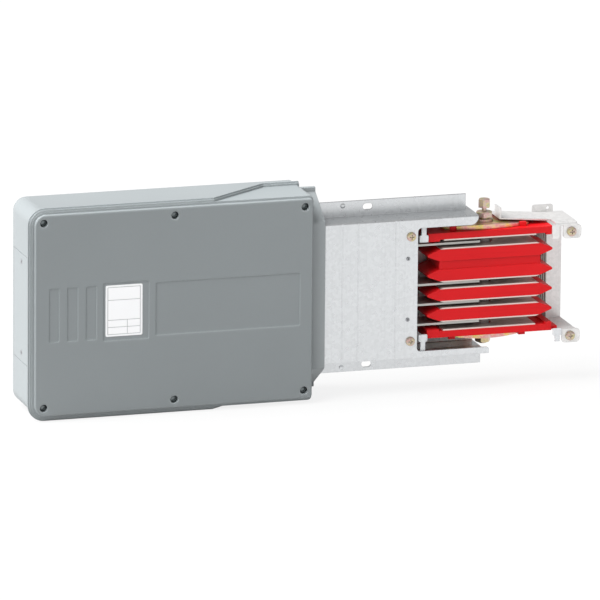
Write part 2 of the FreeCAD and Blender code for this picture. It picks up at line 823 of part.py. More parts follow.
# White T-shaped retaining clips, hung from the casing and from the bracket
def clip(x, foot_z, length, side):
    head_z = foot_z - side * length
    neck_z = head_z + side * clip_head_h
    pairs = [(x - clip_half_w, head_z), (x + clip_half_w, head_z), (x + clip_half_w, neck_z),
             (x + clip_stem_half_w, neck_z), (x + clip_stem_half_w, foot_z), (x - clip_stem_half_w, foot_z),
             (x - clip_stem_half_w, neck_z), (x - clip_half_w, neck_z)]
    return pad_y(pairs, br_front - clip_t, br_front, [clip_r, clip_r, clip_r, clip_r, 0, 0, clip_r, clip_r])


clip_x = window_left + clip_shell_in
clips = [
    clip(clip_x, inner_h, clip_top_l, 1),
    clip(clip_x, -inner_h, clip_bottom_l, -1),
    clip(br_full_left + clip_bracket_in, br_bottom + clip_bracket_up - clip_bracket_l, clip_bracket_l, -1),
]

# Box, one skin split along the parting line into cover and base
part_front = box_front + part_front_in
part_rear = box_rear - part_rear_in
slope_left = box_left + slope_left_in
slope_right = box_right - slope_right_in
base_gap = body_gap + gasket_t
face_back = box_front + face_t


def front_of(offset):
    pairs = [(box_left - far, -far), (box_right + 0.5 * body_gap, -far),
             (box_right + 0.5 * body_gap, part_rear + offset), (slope_right, part_rear + offset),
             (slope_left, part_front + offset), (box_left - far, part_front + offset)]
    return pad_z(pairs, -far, far)


def box_block(inset, y0, y1):
    return rounded(box_left + inset, box_right - inset, inset - box_half_h, box_half_h - inset,
                   y0, y1, box_r_left - inset, box_r_right - inset)


def rim_at(shape, y):
    return [e for e in shape.Edges if all(abs(v.Point.y - y) < 1e-6 for v in e.Vertexes)]


# The rim at a depth, without its edge at the joint end, where the neck goes on
def rim_left_of(shape, y, x):
    return [e for e in rim_at(shape, y) if e.CenterOfMass.x < x]


skin_front = box_front + box_wall
outer = box_block(0, skin_front, box_rear)
outer = outer.makeFillet(rear_r, rim_left_of(outer, box_rear, box_right - over))
inner = box_block(box_wall, face_back, box_floor)
inner = inner.makeFillet(rear_in_r, rim_left_of(inner, box_floor, box_right - 2.0 * box_wall))
skin = outer.cut(inner)


# Stiffening ribs in a grid, for the floor of the base and the back of the cover face
def rib_grid(y0, y1):
    ribs = []
    span_z = box_half_h - 0.5 * box_wall
    for x in rib_xs:
        ribs.append(block(x - 0.5 * rib_t, x + 0.5 * rib_t, y0, y1, -span_z, span_z))
    for z in (rib_half_z, -rib_half_z):
        ribs.append(block(box_left + 0.5 * box_wall, rib_xs[-1], y0, y1, z - 0.5 * rib_t, z + 0.5 * rib_t))
    return ribs


cover = skin.common(front_of(0))
face_plate = rounded(box_left + face_inset, box_right, face_inset - box_half_h, box_half_h - face_inset,
                     box_front, skin_front, box_r_left - face_inset, box_r_right)
face_plate = face_plate.makeChamfer(face_edge, rim_at(face_plate, box_front))
rims = []
for out, depth in zip(rim_out, rim_depth):
    rim = rounded(box_left - out, box_right, -box_half_h - out, box_half_h + out,
                  box_front, part_rear, box_r_left + out, rim_corner_r)
    rim = rim.common(front_of(0)).cut(front_of(-depth))
    rims.append(rim.cut(box_block(0.5 * box_wall, box_front - over, box_rear)))
cover = one([cover, face_plate] + rims + rib_grid(face_back - over, face_back + rib_h))
neck_hole_half_h = trunk_half_h - neck_hole_in_h
neck_hole_front = neck_hole_in_front - trunk_half_d
neck_hole_rear = trunk_half_d - neck_hole_in_rear
bar_hole = block(box_right - 3.0 * box_wall, trunk_left + over, neck_hole_front, neck_hole_rear,
                 -neck_hole_half_h, neck_hole_half_h)
cover = cover.cut(bar_hole)
base = one([skin.cut(front_of(base_gap))] + rib_grid(box_floor - rib_h, box_floor + over))

# Neck of the base, a collar with a rib at its top and bottom, that takes the end of the trunking
neck_left = box_right + body_gap
neck_right = box_right + neck_l
neck_front = -trunk_half_d - neck_over_d
neck_half_h = trunk_half_h + neck_over_h
neck_mid_h = box_half_h - neck_mid_in
neck_rim_h = box_half_h - neck_rim_in
neck_rear_h = trunk_half_h + neck_rear_over_h
neck_rim_end = neck_rim_y + neck_rim_w
collar_top = [(neck_front, neck_half_h), (neck_rim_y, neck_mid_h), (neck_rim_y, neck_rim_h),
              (neck_rim_end, neck_rim_h), (neck_rim_end, neck_mid_h), (box_rear, neck_rear_h)]
collar_r = [box_r_right, 0, neck_rim_r, neck_rim_r, 0, box_r_right]
collar_section = collar_top + [(y, -z) for y, z in reversed(collar_top)]
collar_radii = collar_r + collar_r[::-1]
neck = pad_x(collar_section, neck_left, neck_right, collar_radii)
neck_root = pad_x(collar_section, box_right - box_wall, neck_left + over, collar_radii)
neck_root_front = part_rear + base_gap + neck_root_gap
neck_root = neck_root.common(block(box_left, neck_right, neck_root_front, box_rear, -far, far))
base = one([base, neck, neck_root])
pocket = block(trunk_left, neck_right + over, -trunk_half_d, trunk_half_d, -trunk_half_h, trunk_half_h)
pocket = one([pocket, block(trunk_left, neck_right + over, -sheet, sheet, -flange_top, flange_top)])
base = base.cut(pocket)
base = base.cut(bar_hole)

# Screw pillars of the base, bosses of the cover, and the cover screws
boss_end = box_front + boss_l
pillar_front = boss_end + body_gap
seat_y = box_front + cover_head_sink + cover_head_h
screw_z = box_half_h - screw_edge
pillars = []
bosses = []
base_bores = []
cover_bores = []
cover_screws = []
for x in (box_left + screw_left_in, box_left + screw_mid_in, box_right - screw_right_in):
    for sign in (1, -1):
        z = sign * screw_z
        pillars.append(rod_y(x, z, pillar_front, box_floor + over, pillar_r))
        wall_z = sign * (box_half_h - 0.5 * box_wall)
        web_front = part_front + 2.0 * pillar_r
        if x > slope_left:
            web_front = max(pillar_front, part_rear + base_gap)
        pillars.append(block(x - 0.5 * pillar_web, x + 0.5 * pillar_web, web_front, box_floor + over,
                             min(z, wall_z), max(z, wall_z)))
        bore_end = pillar_front + pillar_bore
        base_bores.append(rod_y(x, z, pillar_front - over, bore_end, cover_screw_r + body_gap))
        bosses.append(rod_y(x, z, skin_front, boss_end, boss_r))
        cover_bores.append(rod_y(x, z, box_front - over, seat_y, cover_head_r + pocket_gap))
        cover_bores.append(rod_y(x, z, box_front - over, boss_end + over, cover_screw_r))
        head = pan_head(cover_head_r, cover_head_h, V(x, seat_y, z), V(0, -1, 0))
        shank = rod_y(x, z, seat_y - over, seat_y + cover_screw_l, cover_screw_r)
        top = seat_y - cover_head_h
        socket = hex_prism(socket_af, socket_depth + over, V(x, top - over, z), V(0, 1, 0))
        cover_screws.append(one([head, shank]).cut(socket))
base = one([base] + pillars)
for bore in base_bores:
    base = base.cut(bore)
cover = one([cover] + bosses)
for bore in cover_bores:
    cover = cover.cut(bore)

# Shallow panels of the cover face
for left, width, half in zip(panel_left, panel_w, panel_half_h):
    x0 = box_left + left
    panel = rounded(x0, x0 + width, -half, half, box_front - over, box_front + panel_cut, panel_r, panel_r)
    cover = cover.cut(panel)

# Gasket between cover and base
seal_out = box_block(gasket_in, box_front, box_rear)
seal_in = box_block(gasket_in + gasket_w, box_front - over, box_rear + over)
gasket = seal_out.cut(seal_in).common(front_of(base_gap)).cut(front_of(body_gap)).cut(bar_hole)

# Gland plate, let into the left end wall on a thin seal
gland_half_h = box_half_h - gland_over
gland_seat = box_left + gland_t + gland_seal
gland_y0 = gland_y - gland_half_w
gland_y1 = gland_y + gland_half_w
frame_y1 = min(gland_y1 + gland_rim, box_floor + over)
frame_half_h = gland_half_h + gland_rim
gland_frame = block(box_left + 0.5 * box_wall, box_left + box_wall + gland_back,
                    gland_y0 - gland_rim, frame_y1, -frame_half_h, frame_half_h)
base = one([base, gland_frame])
base = base.cut(block(box_left - over, gland_seat, gland_y0, gland_y1, -gland_half_h, gland_half_h))
open_half_w = gland_half_w - gland_open_side
open_half_h = gland_half_h - gland_open_end
opening = pad_x([(gland_y - open_half_w, -open_half_h), (gland_y + open_half_w, -open_half_h),
                 (gland_y + open_half_w, open_half_h), (gland_y - open_half_w, open_half_h)],
                box_left - over, box_left + 4.0 * gland_back, box_r_right)
base = base.cut(opening)
plate_half_h = gland_half_h - pocket_gap
gland_plate = block(box_left, box_left + gland_t, gland_y0 + pocket_gap, gland_y1 - pocket_gap,
                    -plate_half_h, plate_half_h)
gland_gasket = block(box_left + gland_t, gland_seat, gland_y0 + pocket_gap, gland_y1 - pocket_gap,
                     -plate_half_h, plate_half_h).cut(opening)
gland_screws = []
for sign in (1, -1):
    spot = V(box_left, gland_y, sign * (gland_half_h - gland_screw_in))
    sunk = gland_head_r - gland_screw_r
    screw = turned([(0, 0), (gland_head_r, 0), (gland_screw_r, sunk), (gland_screw_r, gland_screw_l),
                    (0, gland_screw_l)], spot, V(1, 0, 0))
    base = base.cut(screw)
    gland_plate = gland_plate.cut(screw)
    gland_gasket = gland_gasket.cut(screw)
    drive_half_w = 0.25 * cross_w
    drive = block(box_left - over, box_left + 0.5 * sunk, gland_y - gland_screw_r, gland_y + gland_screw_r,
                  spot.z - drive_half_w, spot.z + drive_half_w)
    gland_screws.append(screw.cut(drive))

# Hand over every piece
pieces = {
    "box_base": base,
    "box_cover": cover,
    "cover_gasket": gasket,
    "cover_screws": Part.makeCompound(cover_screws),
    "gland_plate": gland_plate,
    "gland_gasket": gland_gasket,
    "gland_screws": Part.makeCompound(gland_screws),
    "shell_front": shell_front,
    "shell_rear": shell_rear,
    "shell_screws": Part.makeCompound(shell_screws),
    "shell_rivets": Part.makeCompound(shell_rivets),
    "bar_comb_joint": comb_joint,
    "bar_comb_box": comb_box,
    "terminal_bolts": Part.makeCompound(term_bolts),
    "terminal_washers": Part.makeCompound(term_washers),
    "terminal_nuts": Part.makeCompound(term_nuts),
    "earth_plate": earth_plate,
    "earth_stud": earth_stud,
    "earth_nut": earth_nut,
    "blank_filler": filler,
    "end_insulator_top": end_top,
    "end_insulator_bottom": end_bottom,
    "spring_top": spring_top,
    "spring_bottom": spring_bottom,
    "bolt_tube": tube,
    "joint_bolt": bolt,
    "bolt_washer": washer,
    "bolt_nut": nut,
    "joint_bracket": bracket,
    "bracket_rivets": Part.makeCompound(bracket_rivets),
    "retaining_clips": Part.makeCompound(clips),
    "lug_screw_top": lug_screws[0],
    "lug_screw_bottom": lug_screws[1],
}
for i, bar in enumerate(bars):
    pieces["busbar_%d" % (i + 1)] = bar
for key, shape in insulators.items():
    pieces["insulator_" + key] = shape
pieces.update(contacts)
for name, shape in pieces.items():
    save(name, shape)
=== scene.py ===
"""Looks and stage for a busway feed unit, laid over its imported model. Run as a script in Blender."""

import math

import bmesh
import bpy
from mathutils import Matrix, Vector


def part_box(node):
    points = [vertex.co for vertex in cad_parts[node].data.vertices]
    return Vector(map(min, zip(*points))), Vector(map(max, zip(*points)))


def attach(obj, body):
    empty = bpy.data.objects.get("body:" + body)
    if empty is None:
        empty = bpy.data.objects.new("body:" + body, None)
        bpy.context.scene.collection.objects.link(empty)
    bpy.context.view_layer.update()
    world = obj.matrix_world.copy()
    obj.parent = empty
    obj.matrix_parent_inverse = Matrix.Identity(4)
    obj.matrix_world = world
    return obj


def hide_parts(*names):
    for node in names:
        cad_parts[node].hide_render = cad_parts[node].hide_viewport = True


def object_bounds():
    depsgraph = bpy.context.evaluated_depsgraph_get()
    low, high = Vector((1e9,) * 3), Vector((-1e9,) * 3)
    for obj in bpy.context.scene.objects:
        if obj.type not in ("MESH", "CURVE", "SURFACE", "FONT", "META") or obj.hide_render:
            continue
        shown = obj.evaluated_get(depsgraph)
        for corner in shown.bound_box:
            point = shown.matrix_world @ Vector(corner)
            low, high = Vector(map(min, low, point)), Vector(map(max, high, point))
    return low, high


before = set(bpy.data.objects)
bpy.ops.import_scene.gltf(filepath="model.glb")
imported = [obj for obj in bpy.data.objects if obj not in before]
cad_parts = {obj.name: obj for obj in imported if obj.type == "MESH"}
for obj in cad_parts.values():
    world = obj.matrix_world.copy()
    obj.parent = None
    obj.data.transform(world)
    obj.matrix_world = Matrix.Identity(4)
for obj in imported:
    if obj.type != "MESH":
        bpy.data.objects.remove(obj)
CAD_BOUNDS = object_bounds()

bl_info = {
    "name": "Busway feed unit",
    "version": (1, 0, 0),
    "blender": (4, 5, 0),
    "location": "3D View > Sidebar > Feed unit",
    "description": "Finishes, label, contacts, bolt, threads, flutes and stage of a busway feed unit",
    "category": "Object",
}

MM = 0.001

# Samples of rounded normals and of occlusion, and how fast a rounded normal counts as an edge
BEVEL_SAMPLES = 4
OCCLUSION_SAMPLES = 6
EDGE_GAIN = 6.0

# Second colours of the finishes
RUBBED_RED = (0.72, 0.06, 0.055)
BARE_ZINC = (0.86, 0.80, 0.72)
CHROMATE_GREEN = (0.34, 0.58, 0.22)
CHROMATE_GOLD = (0.86, 0.62, 0.16)
CHROMATE_ROSE = (0.80, 0.30, 0.33)
CHROMATE_PALE = (0.74, 0.64, 0.58)
BAR_STAIN = (0.58, 0.59, 0.56)
TIN_STAIN = (0.62, 0.58, 0.55)

# Print of the label, in shares of its half width and half height
FRAME_OUTSIDE = (0.90, 0.93)
FRAME_INSIDE = (0.86, 0.905)
RULES = (0.42, -0.36, -0.64)
RULE_HALF = 0.012
COLUMN = 0.18
COLUMN_TOP = RULES[1]
COLUMN_HALF = 0.016

# Steps over the label's edge: inset in metres and rise in shares of the film's thickness
LABEL_EDGE = ((0.0, 0.0), (0.0, 0.6), (0.12 * MM, 0.9), (0.4 * MM, 1.0))

# The bolt's hexagons: points round a ring, and crown radius and chamfer height in shares of the flats
HEX_STEPS = 72
HEX_CHAMFER = math.radians(30.0)
HEX_CROWN = 0.47
HEX_EDGE = 0.03
SHARP_ANGLE = math.radians(20.0)
TAIL_CHAMFER = 1.0 * MM

# Threads and flutes
BACKWARD = (-math.pi / 2, 0.0, 0.0)
UPRIGHT = (0.0, 0.0, 0.0)
TURN_STEPS = 20
THREAD_SIDES = 4
THREAD_GAP = 1.0 * MM
LUG_PITCH = 1.0 * MM
FLUTE_SIDES = 12

# Floor, surround, key light and camera
WHITE = (1.0, 1.0, 1.0)
FLOOR_GREY = (0.55, 0.55, 0.55)
FLOOR_HALF = 30.0
FLOOR_GAP = 0.5 * MM
FLOOR_GLOW = 1.05
GLOW_SHARE = 0.80
HORIZON = 0.20
SKY_SHADE = 0.60
KEY_SPREAD = math.radians(60.0)
KEY_WAY = (0.66, 0.06, -0.75)
LOOK_AT = (-0.26097, 0.0, -0.01475)
SENSOR_WIDTH = 36.0
CLIP_END = 100.0


# Shader graphs


class Wire:
    """One output of a shader node; arithmetic on it adds Math nodes."""

    def __init__(self, graph, socket):
        self.graph = graph
        self.socket = socket

    def _math(self, operation, first, second=None):
        values = {0: first}
        if second is not None:
            values[1] = second
        return self.graph.node("ShaderNodeMath", {"operation": operation}, values)

    def __add__(self, other):
        return self._math("ADD", self, other)

    def __radd__(self, other):
        return self._math("ADD", other, self)

    def __sub__(self, other):
        return self._math("SUBTRACT", self, other)

    def __rsub__(self, other):
        return self._math("SUBTRACT", other, self)

    def __mul__(self, other):
        return self._math("MULTIPLY", self, other)

    def __truediv__(self, other):
        return self._math("DIVIDE", self, other)

    def above(self, limit):
        return self._math("GREATER_THAN", self, limit)

    def below(self, limit):
        return self._math("LESS_THAN", self, limit)

    def clamped(self):
        return self.graph.node("ShaderNodeClamp", {}, {0: self})

    def distance(self):
        return self._math("ABSOLUTE", self)


class Graph:
    """A material's node tree, filled by node calls."""

    def __init__(self, tree):
        self.tree = tree
        self.tree.nodes.clear()

    def node(self, kind, settings, values, output=0):
        """Adds one node: its settings first, then the values or links of its sockets."""
        made = self.tree.nodes.new(kind)
        for key, value in settings.items():
            if key == "stops":
                self._stops(made.color_ramp, value)
            else:
                setattr(made, key, value)
        for key, value in values.items():
            target = made.inputs[key]
            if isinstance(value, Wire):
                self.tree.links.new(value.socket, target)
            elif target.type == "RGBA" and len(value) == 3:
                target.default_value = (*value, 1.0)
            else:
                target.default_value = value
        return Wire(self, made.outputs[output]) if made.outputs else None

    @staticmethod
    def _stops(ramp, stops):
        while len(ramp.elements) < len(stops):
            ramp.elements.new(1.0)
        for element, (place, colour) in zip(ramp.elements, stops):
            element.position = place
            element.color = (*colour, 1.0)

    def place(self, stretch=None):
        """Object coordinates in metres, stretched for drawn or brushed patterns."""
        where = self.node("ShaderNodeTexCoord", {}, {}, "Object")
        if stretch is None:
            return where
        return self.node("ShaderNodeMapping", {}, {"Vector": where, "Scale": stretch})

    def noise(self, where, scale, detail=3.0, rough=0.55):
        values = {"Vector": where, "Scale": scale, "Detail": detail, "Roughness": rough}
        return self.node("ShaderNodeTexNoise", {}, values)

    def cells(self, where, scale, output="Color"):
        return self.node("ShaderNodeTexVoronoi", {}, {"Vector": where, "Scale": scale}, output)

    def part(self, vector, axis):
        return self.node("ShaderNodeSeparateXYZ", {}, {0: vector}, axis)

    def value_of(self, colour):
        """One channel of a colour, as a number."""
        return self.node("ShaderNodeSeparateColor", {}, {0: colour}, 0)

    def ramp(self, factor, stops):
        return self.node("ShaderNodeValToRGB", {"stops": stops}, {0: factor})

    def between(self, factor, low, high):
        """A number that runs from low to high with the factor."""
        return self.node("ShaderNodeMapRange", {}, {"Value": factor, "To Min": low, "To Max": high})

    def blend(self, factor, first, second):
        settings = {"data_type": "RGBA", "blend_type": "MIX"}
        return self.node("ShaderNodeMix", settings, {0: factor, 6: first, 7: second}, 2)

    def rounded(self, radius):
        """The normal of the surface, rounded over the radius at edges."""
        return self.node("ShaderNodeBevel", {"samples": BEVEL_SAMPLES}, {"Radius": radius})

    def edge(self, radius):
        """0 on flat faces, rising to 1 on edges sharper than the radius."""
        true = self.node("ShaderNodeNewGeometry", {}, {}, "Normal")
        settings = {"operation": "DOT_PRODUCT"}
        values = {0: self.rounded(radius), 1: true}
        along = self.node("ShaderNodeVectorMath", settings, values, "Value")
        return ((1.0 - along) * EDGE_GAIN).clamped()

    def upward(self, radius):
        """0 on upright faces, rising to 1 on level ones, smoothed over the radius."""
        return self.part(self.rounded(radius), "Z").clamped()

    def recess(self, reach):
        """0 on open faces, rising to 1 where other faces close them in within the reach."""
        settings = {"samples": OCCLUSION_SAMPLES}
        return 1.0 - self.node("ShaderNodeAmbientOcclusion", settings, {"Distance": reach}, "AO")

    def flecks(self, body, pattern, over, weight, colour):
        """Lays a colour over the body where the pattern rises over a limit."""
        return self.blend(pattern.above(over) * weight, body, colour)

    def wear(self, body, radius, weight, colour):
        """Lays a colour over the body on edges sharper than the radius."""
        return self.blend(self.edge(radius) * weight, body, colour)

    def painted_shade(self, body, reach, weight, colour):
        """Paints shade: lays a colour over the body where other faces close it in within the reach."""
        return self.blend(self.recess(reach) * weight, body, colour)

    def bump(self, height, strength, distance, radius):
        """Fine relief over a normal that is rounded at the edges."""
        values = {"Strength": strength, "Distance": distance, "Height": height,
                  "Normal": self.rounded(radius)}
        return self.node("ShaderNodeBump", {}, values)

    def finish(self, **sockets):
        """Ends the graph in a Principled shader. An underscore in a key stands for a space."""
        named = {key.replace("_", " "): value for key, value in sockets.items()}
        shader = self.node("ShaderNodeBsdfPrincipled", {}, named)
        self.node("ShaderNodeOutputMaterial", {}, {"Surface": shader})


def new_graph(name):
    material = bpy.data.materials.new(name)
    material.use_nodes = True
    return material, Graph(material.node_tree)


def tint(colour, factor):
    """The colour made lighter or darker by a factor."""
    return tuple(min(1.0, channel * factor) for channel in colour)


# Finishes


def moulded_plastic(name, colour, gloss=0.42, grain=0.06, grain_scale=1400.0, worn=1.25,
                    soft=1.3 * MM, rub=1.2 * MM, painted_top_light_and_dust=0.0, painted_corner_shade=0.0):
    """Injection-moulded plastic: grain, slow flow shading and paler rubbed edges.

    Painted top light lightens the faces that look up, and painted shade darkens the corners.
    """
    material, g = new_graph(name)
    where = g.place()
    flow = g.noise(where, scale=7.0, detail=4.0)
    fleck = g.noise(where, scale=420.0, detail=2.0)
    skin = g.noise(where, scale=grain_scale, detail=2.0)
    # Painted top light: faces that look up are made paler.
    top = (g.upward(5.0 * MM) * 1.7).clamped() * painted_top_light_and_dust
    body = g.blend(flow, tint(colour, 0.94), tint(colour, 1.06))
    body = g.flecks(body, fleck, over=0.62, weight=0.10, colour=tint(colour, 0.80))
    body = g.blend(top, body, tint(colour, 1.4))
    # Rubbed edges are paler, and paler still on faces that look up as painted top light.
    body = g.wear(body, radius=rub, weight=0.42 + top * 0.5, colour=tint(colour, worn))
    # Painted shade: corners that other faces close in are darkened.
    body = g.painted_shade(body, reach=6.0 * MM, weight=painted_corner_shade, colour=tint(colour, 0.25))
    rough = g.between(flow, gloss - 0.05, gloss + 0.06) + skin * 0.05
    relief = g.bump(skin, strength=grain, distance=0.4 * MM, radius=soft)
    g.finish(Base_Color=body, Roughness=rough, Normal=relief)
    return material


def red_moulding(name, colour):
    """Satin insulating plastic with long flow lines and slightly rubbed edges."""
    material, g = new_graph(name)
    where = g.place()
    lines = g.noise(g.place((3.0, 40.0, 260.0)), scale=1.0)
    flow = g.noise(where, scale=22.0)
    skin = g.noise(where, scale=1600.0, detail=2.0)
    body = g.blend(flow, tint(colour, 0.90), tint(colour, 1.08))
    body = g.flecks(body, lines, over=0.60, weight=0.16, colour=tint(colour, 0.78))
    body = g.wear(body, radius=0.9 * MM, weight=0.25, colour=RUBBED_RED)
    rough = g.between(flow, 0.38, 0.50)
    relief = g.bump(lines * 0.6 + skin * 0.4, strength=0.10, distance=0.4 * MM, radius=0.6 * MM)
    g.finish(Base_Color=body, Roughness=rough, Specular_IOR_Level=0.20, Normal=relief)
    return material


def galvanised_sheet(name, colour, smooth=0.26, cell=240.0, metal=0.92, painted_recess_shade=0.13):
    """Hot-dip sheet: zinc crystals, dull flecks, roll streaks, bare cut edges and painted shade in
    recesses.
    """
    material, g = new_graph(name)
    where = g.place()
    crystal = g.value_of(g.cells(where, cell))
    speck = g.noise(where, scale=620.0, detail=2.0, rough=0.6)
    cloud = g.noise(where, scale=11.0)
    streak = g.noise(g.place((260.0, 260.0, 4.0)), scale=1.0)
    body = g.blend(crystal, tint(colour, 0.92), tint(colour, 1.05))
    body = g.blend(speck * 0.16, body, tint(colour, 0.62))
    body = g.flecks(body, streak, over=0.60, weight=0.14, colour=tint(colour, 0.80))
    body = g.blend(cloud * 0.16, body, tint(colour, 0.80))
    body = g.wear(body, radius=0.9 * MM, weight=0.55, colour=tint(colour, 0.55))
    # Painted shade: recesses that other faces close in are darkened.
    body = g.painted_shade(body, reach=35.0 * MM, weight=painted_recess_shade, colour=tint(colour, 0.22))
    rough = g.between(crystal, smooth - 0.03, smooth + 0.04) + speck * 0.05 + streak * 0.04
    relief = g.bump(crystal * 0.5 + streak * 0.5, strength=0.010, distance=0.3 * MM, radius=0.8 * MM)
    g.finish(Base_Color=body, Metallic=metal, Roughness=rough, Normal=relief)
    return material


def yellow_passivate(name, colour, glaze=0.75, patch=150.0):
    """Yellow chromate over zinc: gold that drifts to rose and green, with drawn streaks."""
    material, g = new_graph(name)
    where = g.place()
    drift = g.noise(where, scale=patch, rough=0.6)
    streak = g.noise(g.place((40.0, 160.0, 160.0)), scale=1.0)
    pit = g.noise(where, scale=900.0, detail=2.0)
    stops = [(0.36, CHROMATE_GREEN), (0.43, CHROMATE_GOLD), (0.50, tint(colour, 1.1)),
             (0.57, CHROMATE_ROSE), (0.66, CHROMATE_PALE)]
    rainbow = g.ramp(drift * 0.75 + streak * 0.25, stops)
    body = g.blend(glaze, colour, rainbow)
    body = g.flecks(body, pit, over=0.64, weight=0.40, colour=tint(colour, 0.40))
    body = g.wear(body, radius=0.7 * MM, weight=0.5, colour=BARE_ZINC)
    # Painted shade: recesses, such as the crosses of screws, are darkened.
    body = g.painted_shade(body, reach=2.0 * MM, weight=0.75, colour=tint(colour, 0.18))
    rough = g.between(streak, 0.20, 0.36) + pit * 0.06
    relief = g.bump(streak * 0.5 + pit * 0.5, strength=0.06, distance=0.3 * MM, radius=0.3 * MM)
    g.finish(Base_Color=body, Metallic=0.80, Roughness=rough, Normal=relief)
    return material


def drawn_bar(name, colour, stain, metal=0.82):
    """Drawn conductor bar: long die lines, faint stains and handling scratches."""
    material, g = new_graph(name)
    die = g.noise(g.place((2.5, 900.0, 900.0)), scale=1.0)
    patch = g.noise(g.place(), scale=26.0, detail=4.0)
    scratch = g.noise(g.place((30.0, 420.0, 30.0)), scale=1.0, detail=2.0)
    body = g.blend(die, tint(colour, 0.86), tint(colour, 1.06))
    body = g.blend(patch * 0.5, body, stain)
    body = g.flecks(body, scratch, over=0.68, weight=0.3, colour=tint(colour, 1.15))
    body = g.wear(body, radius=0.5 * MM, weight=0.4, colour=tint(colour, 1.2))
    rough = g.between(die, 0.24, 0.40)
    relief = g.bump(die, strength=0.05, distance=0.3 * MM, radius=0.3 * MM)
    g.finish(Base_Color=body, Metallic=metal, Roughness=rough, Normal=relief)
    return material


def bright_zinc(name, colour):
    """Bright zinc on small fasteners: cloudy, with dark pits and pale edges."""
    material, g = new_graph(name)
    where = g.place()
    patch = g.noise(where, scale=180.0)
    pit = g.noise(where, scale=1100.0, detail=2.0)
    body = g.blend(patch, tint(colour, 0.82), tint(colour, 1.10))
    body = g.flecks(body, pit, over=0.64, weight=0.4, colour=tint(colour, 0.45))
    body = g.wear(body, radius=0.5 * MM, weight=0.5, colour=tint(colour, 1.3))
    rough = g.between(patch, 0.26, 0.44)
    relief = g.bump(patch * 0.4 + pit * 0.6, strength=0.05, distance=0.3 * MM, radius=0.3 * MM)
    g.finish(Base_Color=body, Metallic=0.95, Roughness=rough, Normal=relief)
    return material


def foam_seal(name, colour):
    """Closed-cell foam strip with open cut cells."""
    material, g = new_graph(name)
    where = g.place()
    cell = g.cells(where, 900.0, "Distance")
    painted_top_light_and_dust = g.noise(where, scale=120.0)
    body = g.blend(cell, tint(colour, 0.6), tint(colour, 1.5))
    body = g.flecks(body, painted_top_light_and_dust, over=0.60, weight=0.2, colour=tint(colour, 3.0))
    rough = g.between(painted_top_light_and_dust, 0.75, 0.92)
    relief = g.bump(cell, strength=0.3, distance=0.4 * MM, radius=0.2 * MM)
    g.finish(Base_Color=body, Roughness=rough, Normal=relief)
    return material


def label_stock(name, paper, ink, middle, half):
    """White film label with an empty printed frame and rules."""
    material, g = new_graph(name)
    where = g.place()
    across = (g.part(where, "X") - middle[0]) / half[0]
    upward = (g.part(where, "Z") - middle[1]) / half[1]

    def inside(reach):
        return across.distance().below(reach[0]) * upward.distance().below(reach[1])

    border = inside(FRAME_OUTSIDE) * (1.0 - inside(FRAME_INSIDE))
    column = (across - COLUMN).distance().below(COLUMN_HALF)
    printed = border + column * upward.below(COLUMN_TOP) * upward.above(-FRAME_INSIDE[1])
    for level in RULES:
        rule = (upward - level).distance().below(RULE_HALF)
        printed = printed + rule * across.distance().below(FRAME_INSIDE[0])
    printed = printed.clamped()
    fibre = g.noise(where, scale=1500.0, detail=2.0)
    body = g.blend(fibre, tint(paper, 0.97), tint(paper, 1.02))
    body = g.blend(printed * 0.75, body, ink)
    rough = g.between(fibre, 0.30, 0.42) + printed * 0.15
    relief = g.bump(fibre, strength=0.03, distance=0.2 * MM, radius=0.1 * MM)
    g.finish(Base_Color=body, Roughness=rough, Normal=relief)
    return material


# Sizes and colours


def colour_property(label, words, default):
    return bpy.props.FloatVectorProperty(
        name=label, description=words, subtype="COLOR", size=3, min=0.0, max=1.0, default=default)


def length_property(label, words, default):
    return bpy.props.FloatProperty(
        name=label, description=words, subtype="DISTANCE", unit="LENGTH", default=default, precision=5)


def angle_property(label, words, degrees):
    return bpy.props.FloatProperty(
        name=label, description=words, subtype="ANGLE", unit="ROTATION", default=math.radians(degrees))


def number_property(label, words, default, least=0.0):
    return bpy.props.FloatProperty(name=label, description=words, default=default, min=least)


class FeedUnitFinishes(bpy.types.PropertyGroup):
    """Colours of the finishes."""

    # The base and the cover are one grey plastic: the base's grey is painted lighter, as light on its top
    # and sides, and the cover's darker, as shade on its front.
    base: colour_property("Base", "Grey of the box base and the gland plate", (0.325, 0.352, 0.362))
    cover: colour_property("Cover", "Grey of the box cover", (0.238, 0.262, 0.270))
    seal: colour_property("Seal", "Foam seals", (0.03, 0.03, 0.032))
    sheet: colour_property("Sheet", "Galvanised trunking sheet", (0.79, 0.81, 0.825))
    bracket: colour_property("Bracket", "Galvanised joint bracket", (0.90, 0.89, 0.88))
    gold: colour_property("Passivate", "Yellow passivated spring plates", (0.76, 0.52, 0.36))
    bolt: colour_property("Bolt", "Yellow passivated joint bolt", (0.62, 0.52, 0.45))
    screw: colour_property("Pan screws", "Yellow passivated screws", (0.55, 0.49, 0.40))
    red: colour_property("Insulators", "Red insulating plastic", (0.70, 0.009, 0.013))
    contact: colour_property("Contacts", "Tinned contact plates", (0.86, 0.72, 0.67))
    bars: colour_property("Busbars", "Aluminium busbars", (0.60, 0.61, 0.58))
    zinc: colour_property("Zinc", "Bright zinc fasteners", (0.56, 0.57, 0.60))
    # The cover screws' dark grey is painted shade of the deep holes they sit in.
    black: colour_property("Black zinc", "Black zinc cover screws", (0.20, 0.225, 0.23))
    sleeve: colour_property("Sleeve", "Sleeve of the joint bolt", (0.34, 0.30, 0.30))
    # The combs' dark green-grey is painted shade of the trunk's inside, greened to offset red light bounced
    # from the insulators.
    comb: colour_property("Combs", "Combs that hold the bars", (0.175, 0.29, 0.28))
    # The flutes' dark grey is painted shade of the bracket's channel.
    flutes: colour_property("Flutes", "Flutes of the joint bracket", (0.40, 0.40, 0.37))
    white: colour_property("White plastic", "Retaining clips", (0.74, 0.76, 0.78))
    paper: colour_property("Label", "Label film", (0.94, 0.945, 0.955))
    ink: colour_property("Label rules", "Printed frame of the label", (0.30, 0.31, 0.32))


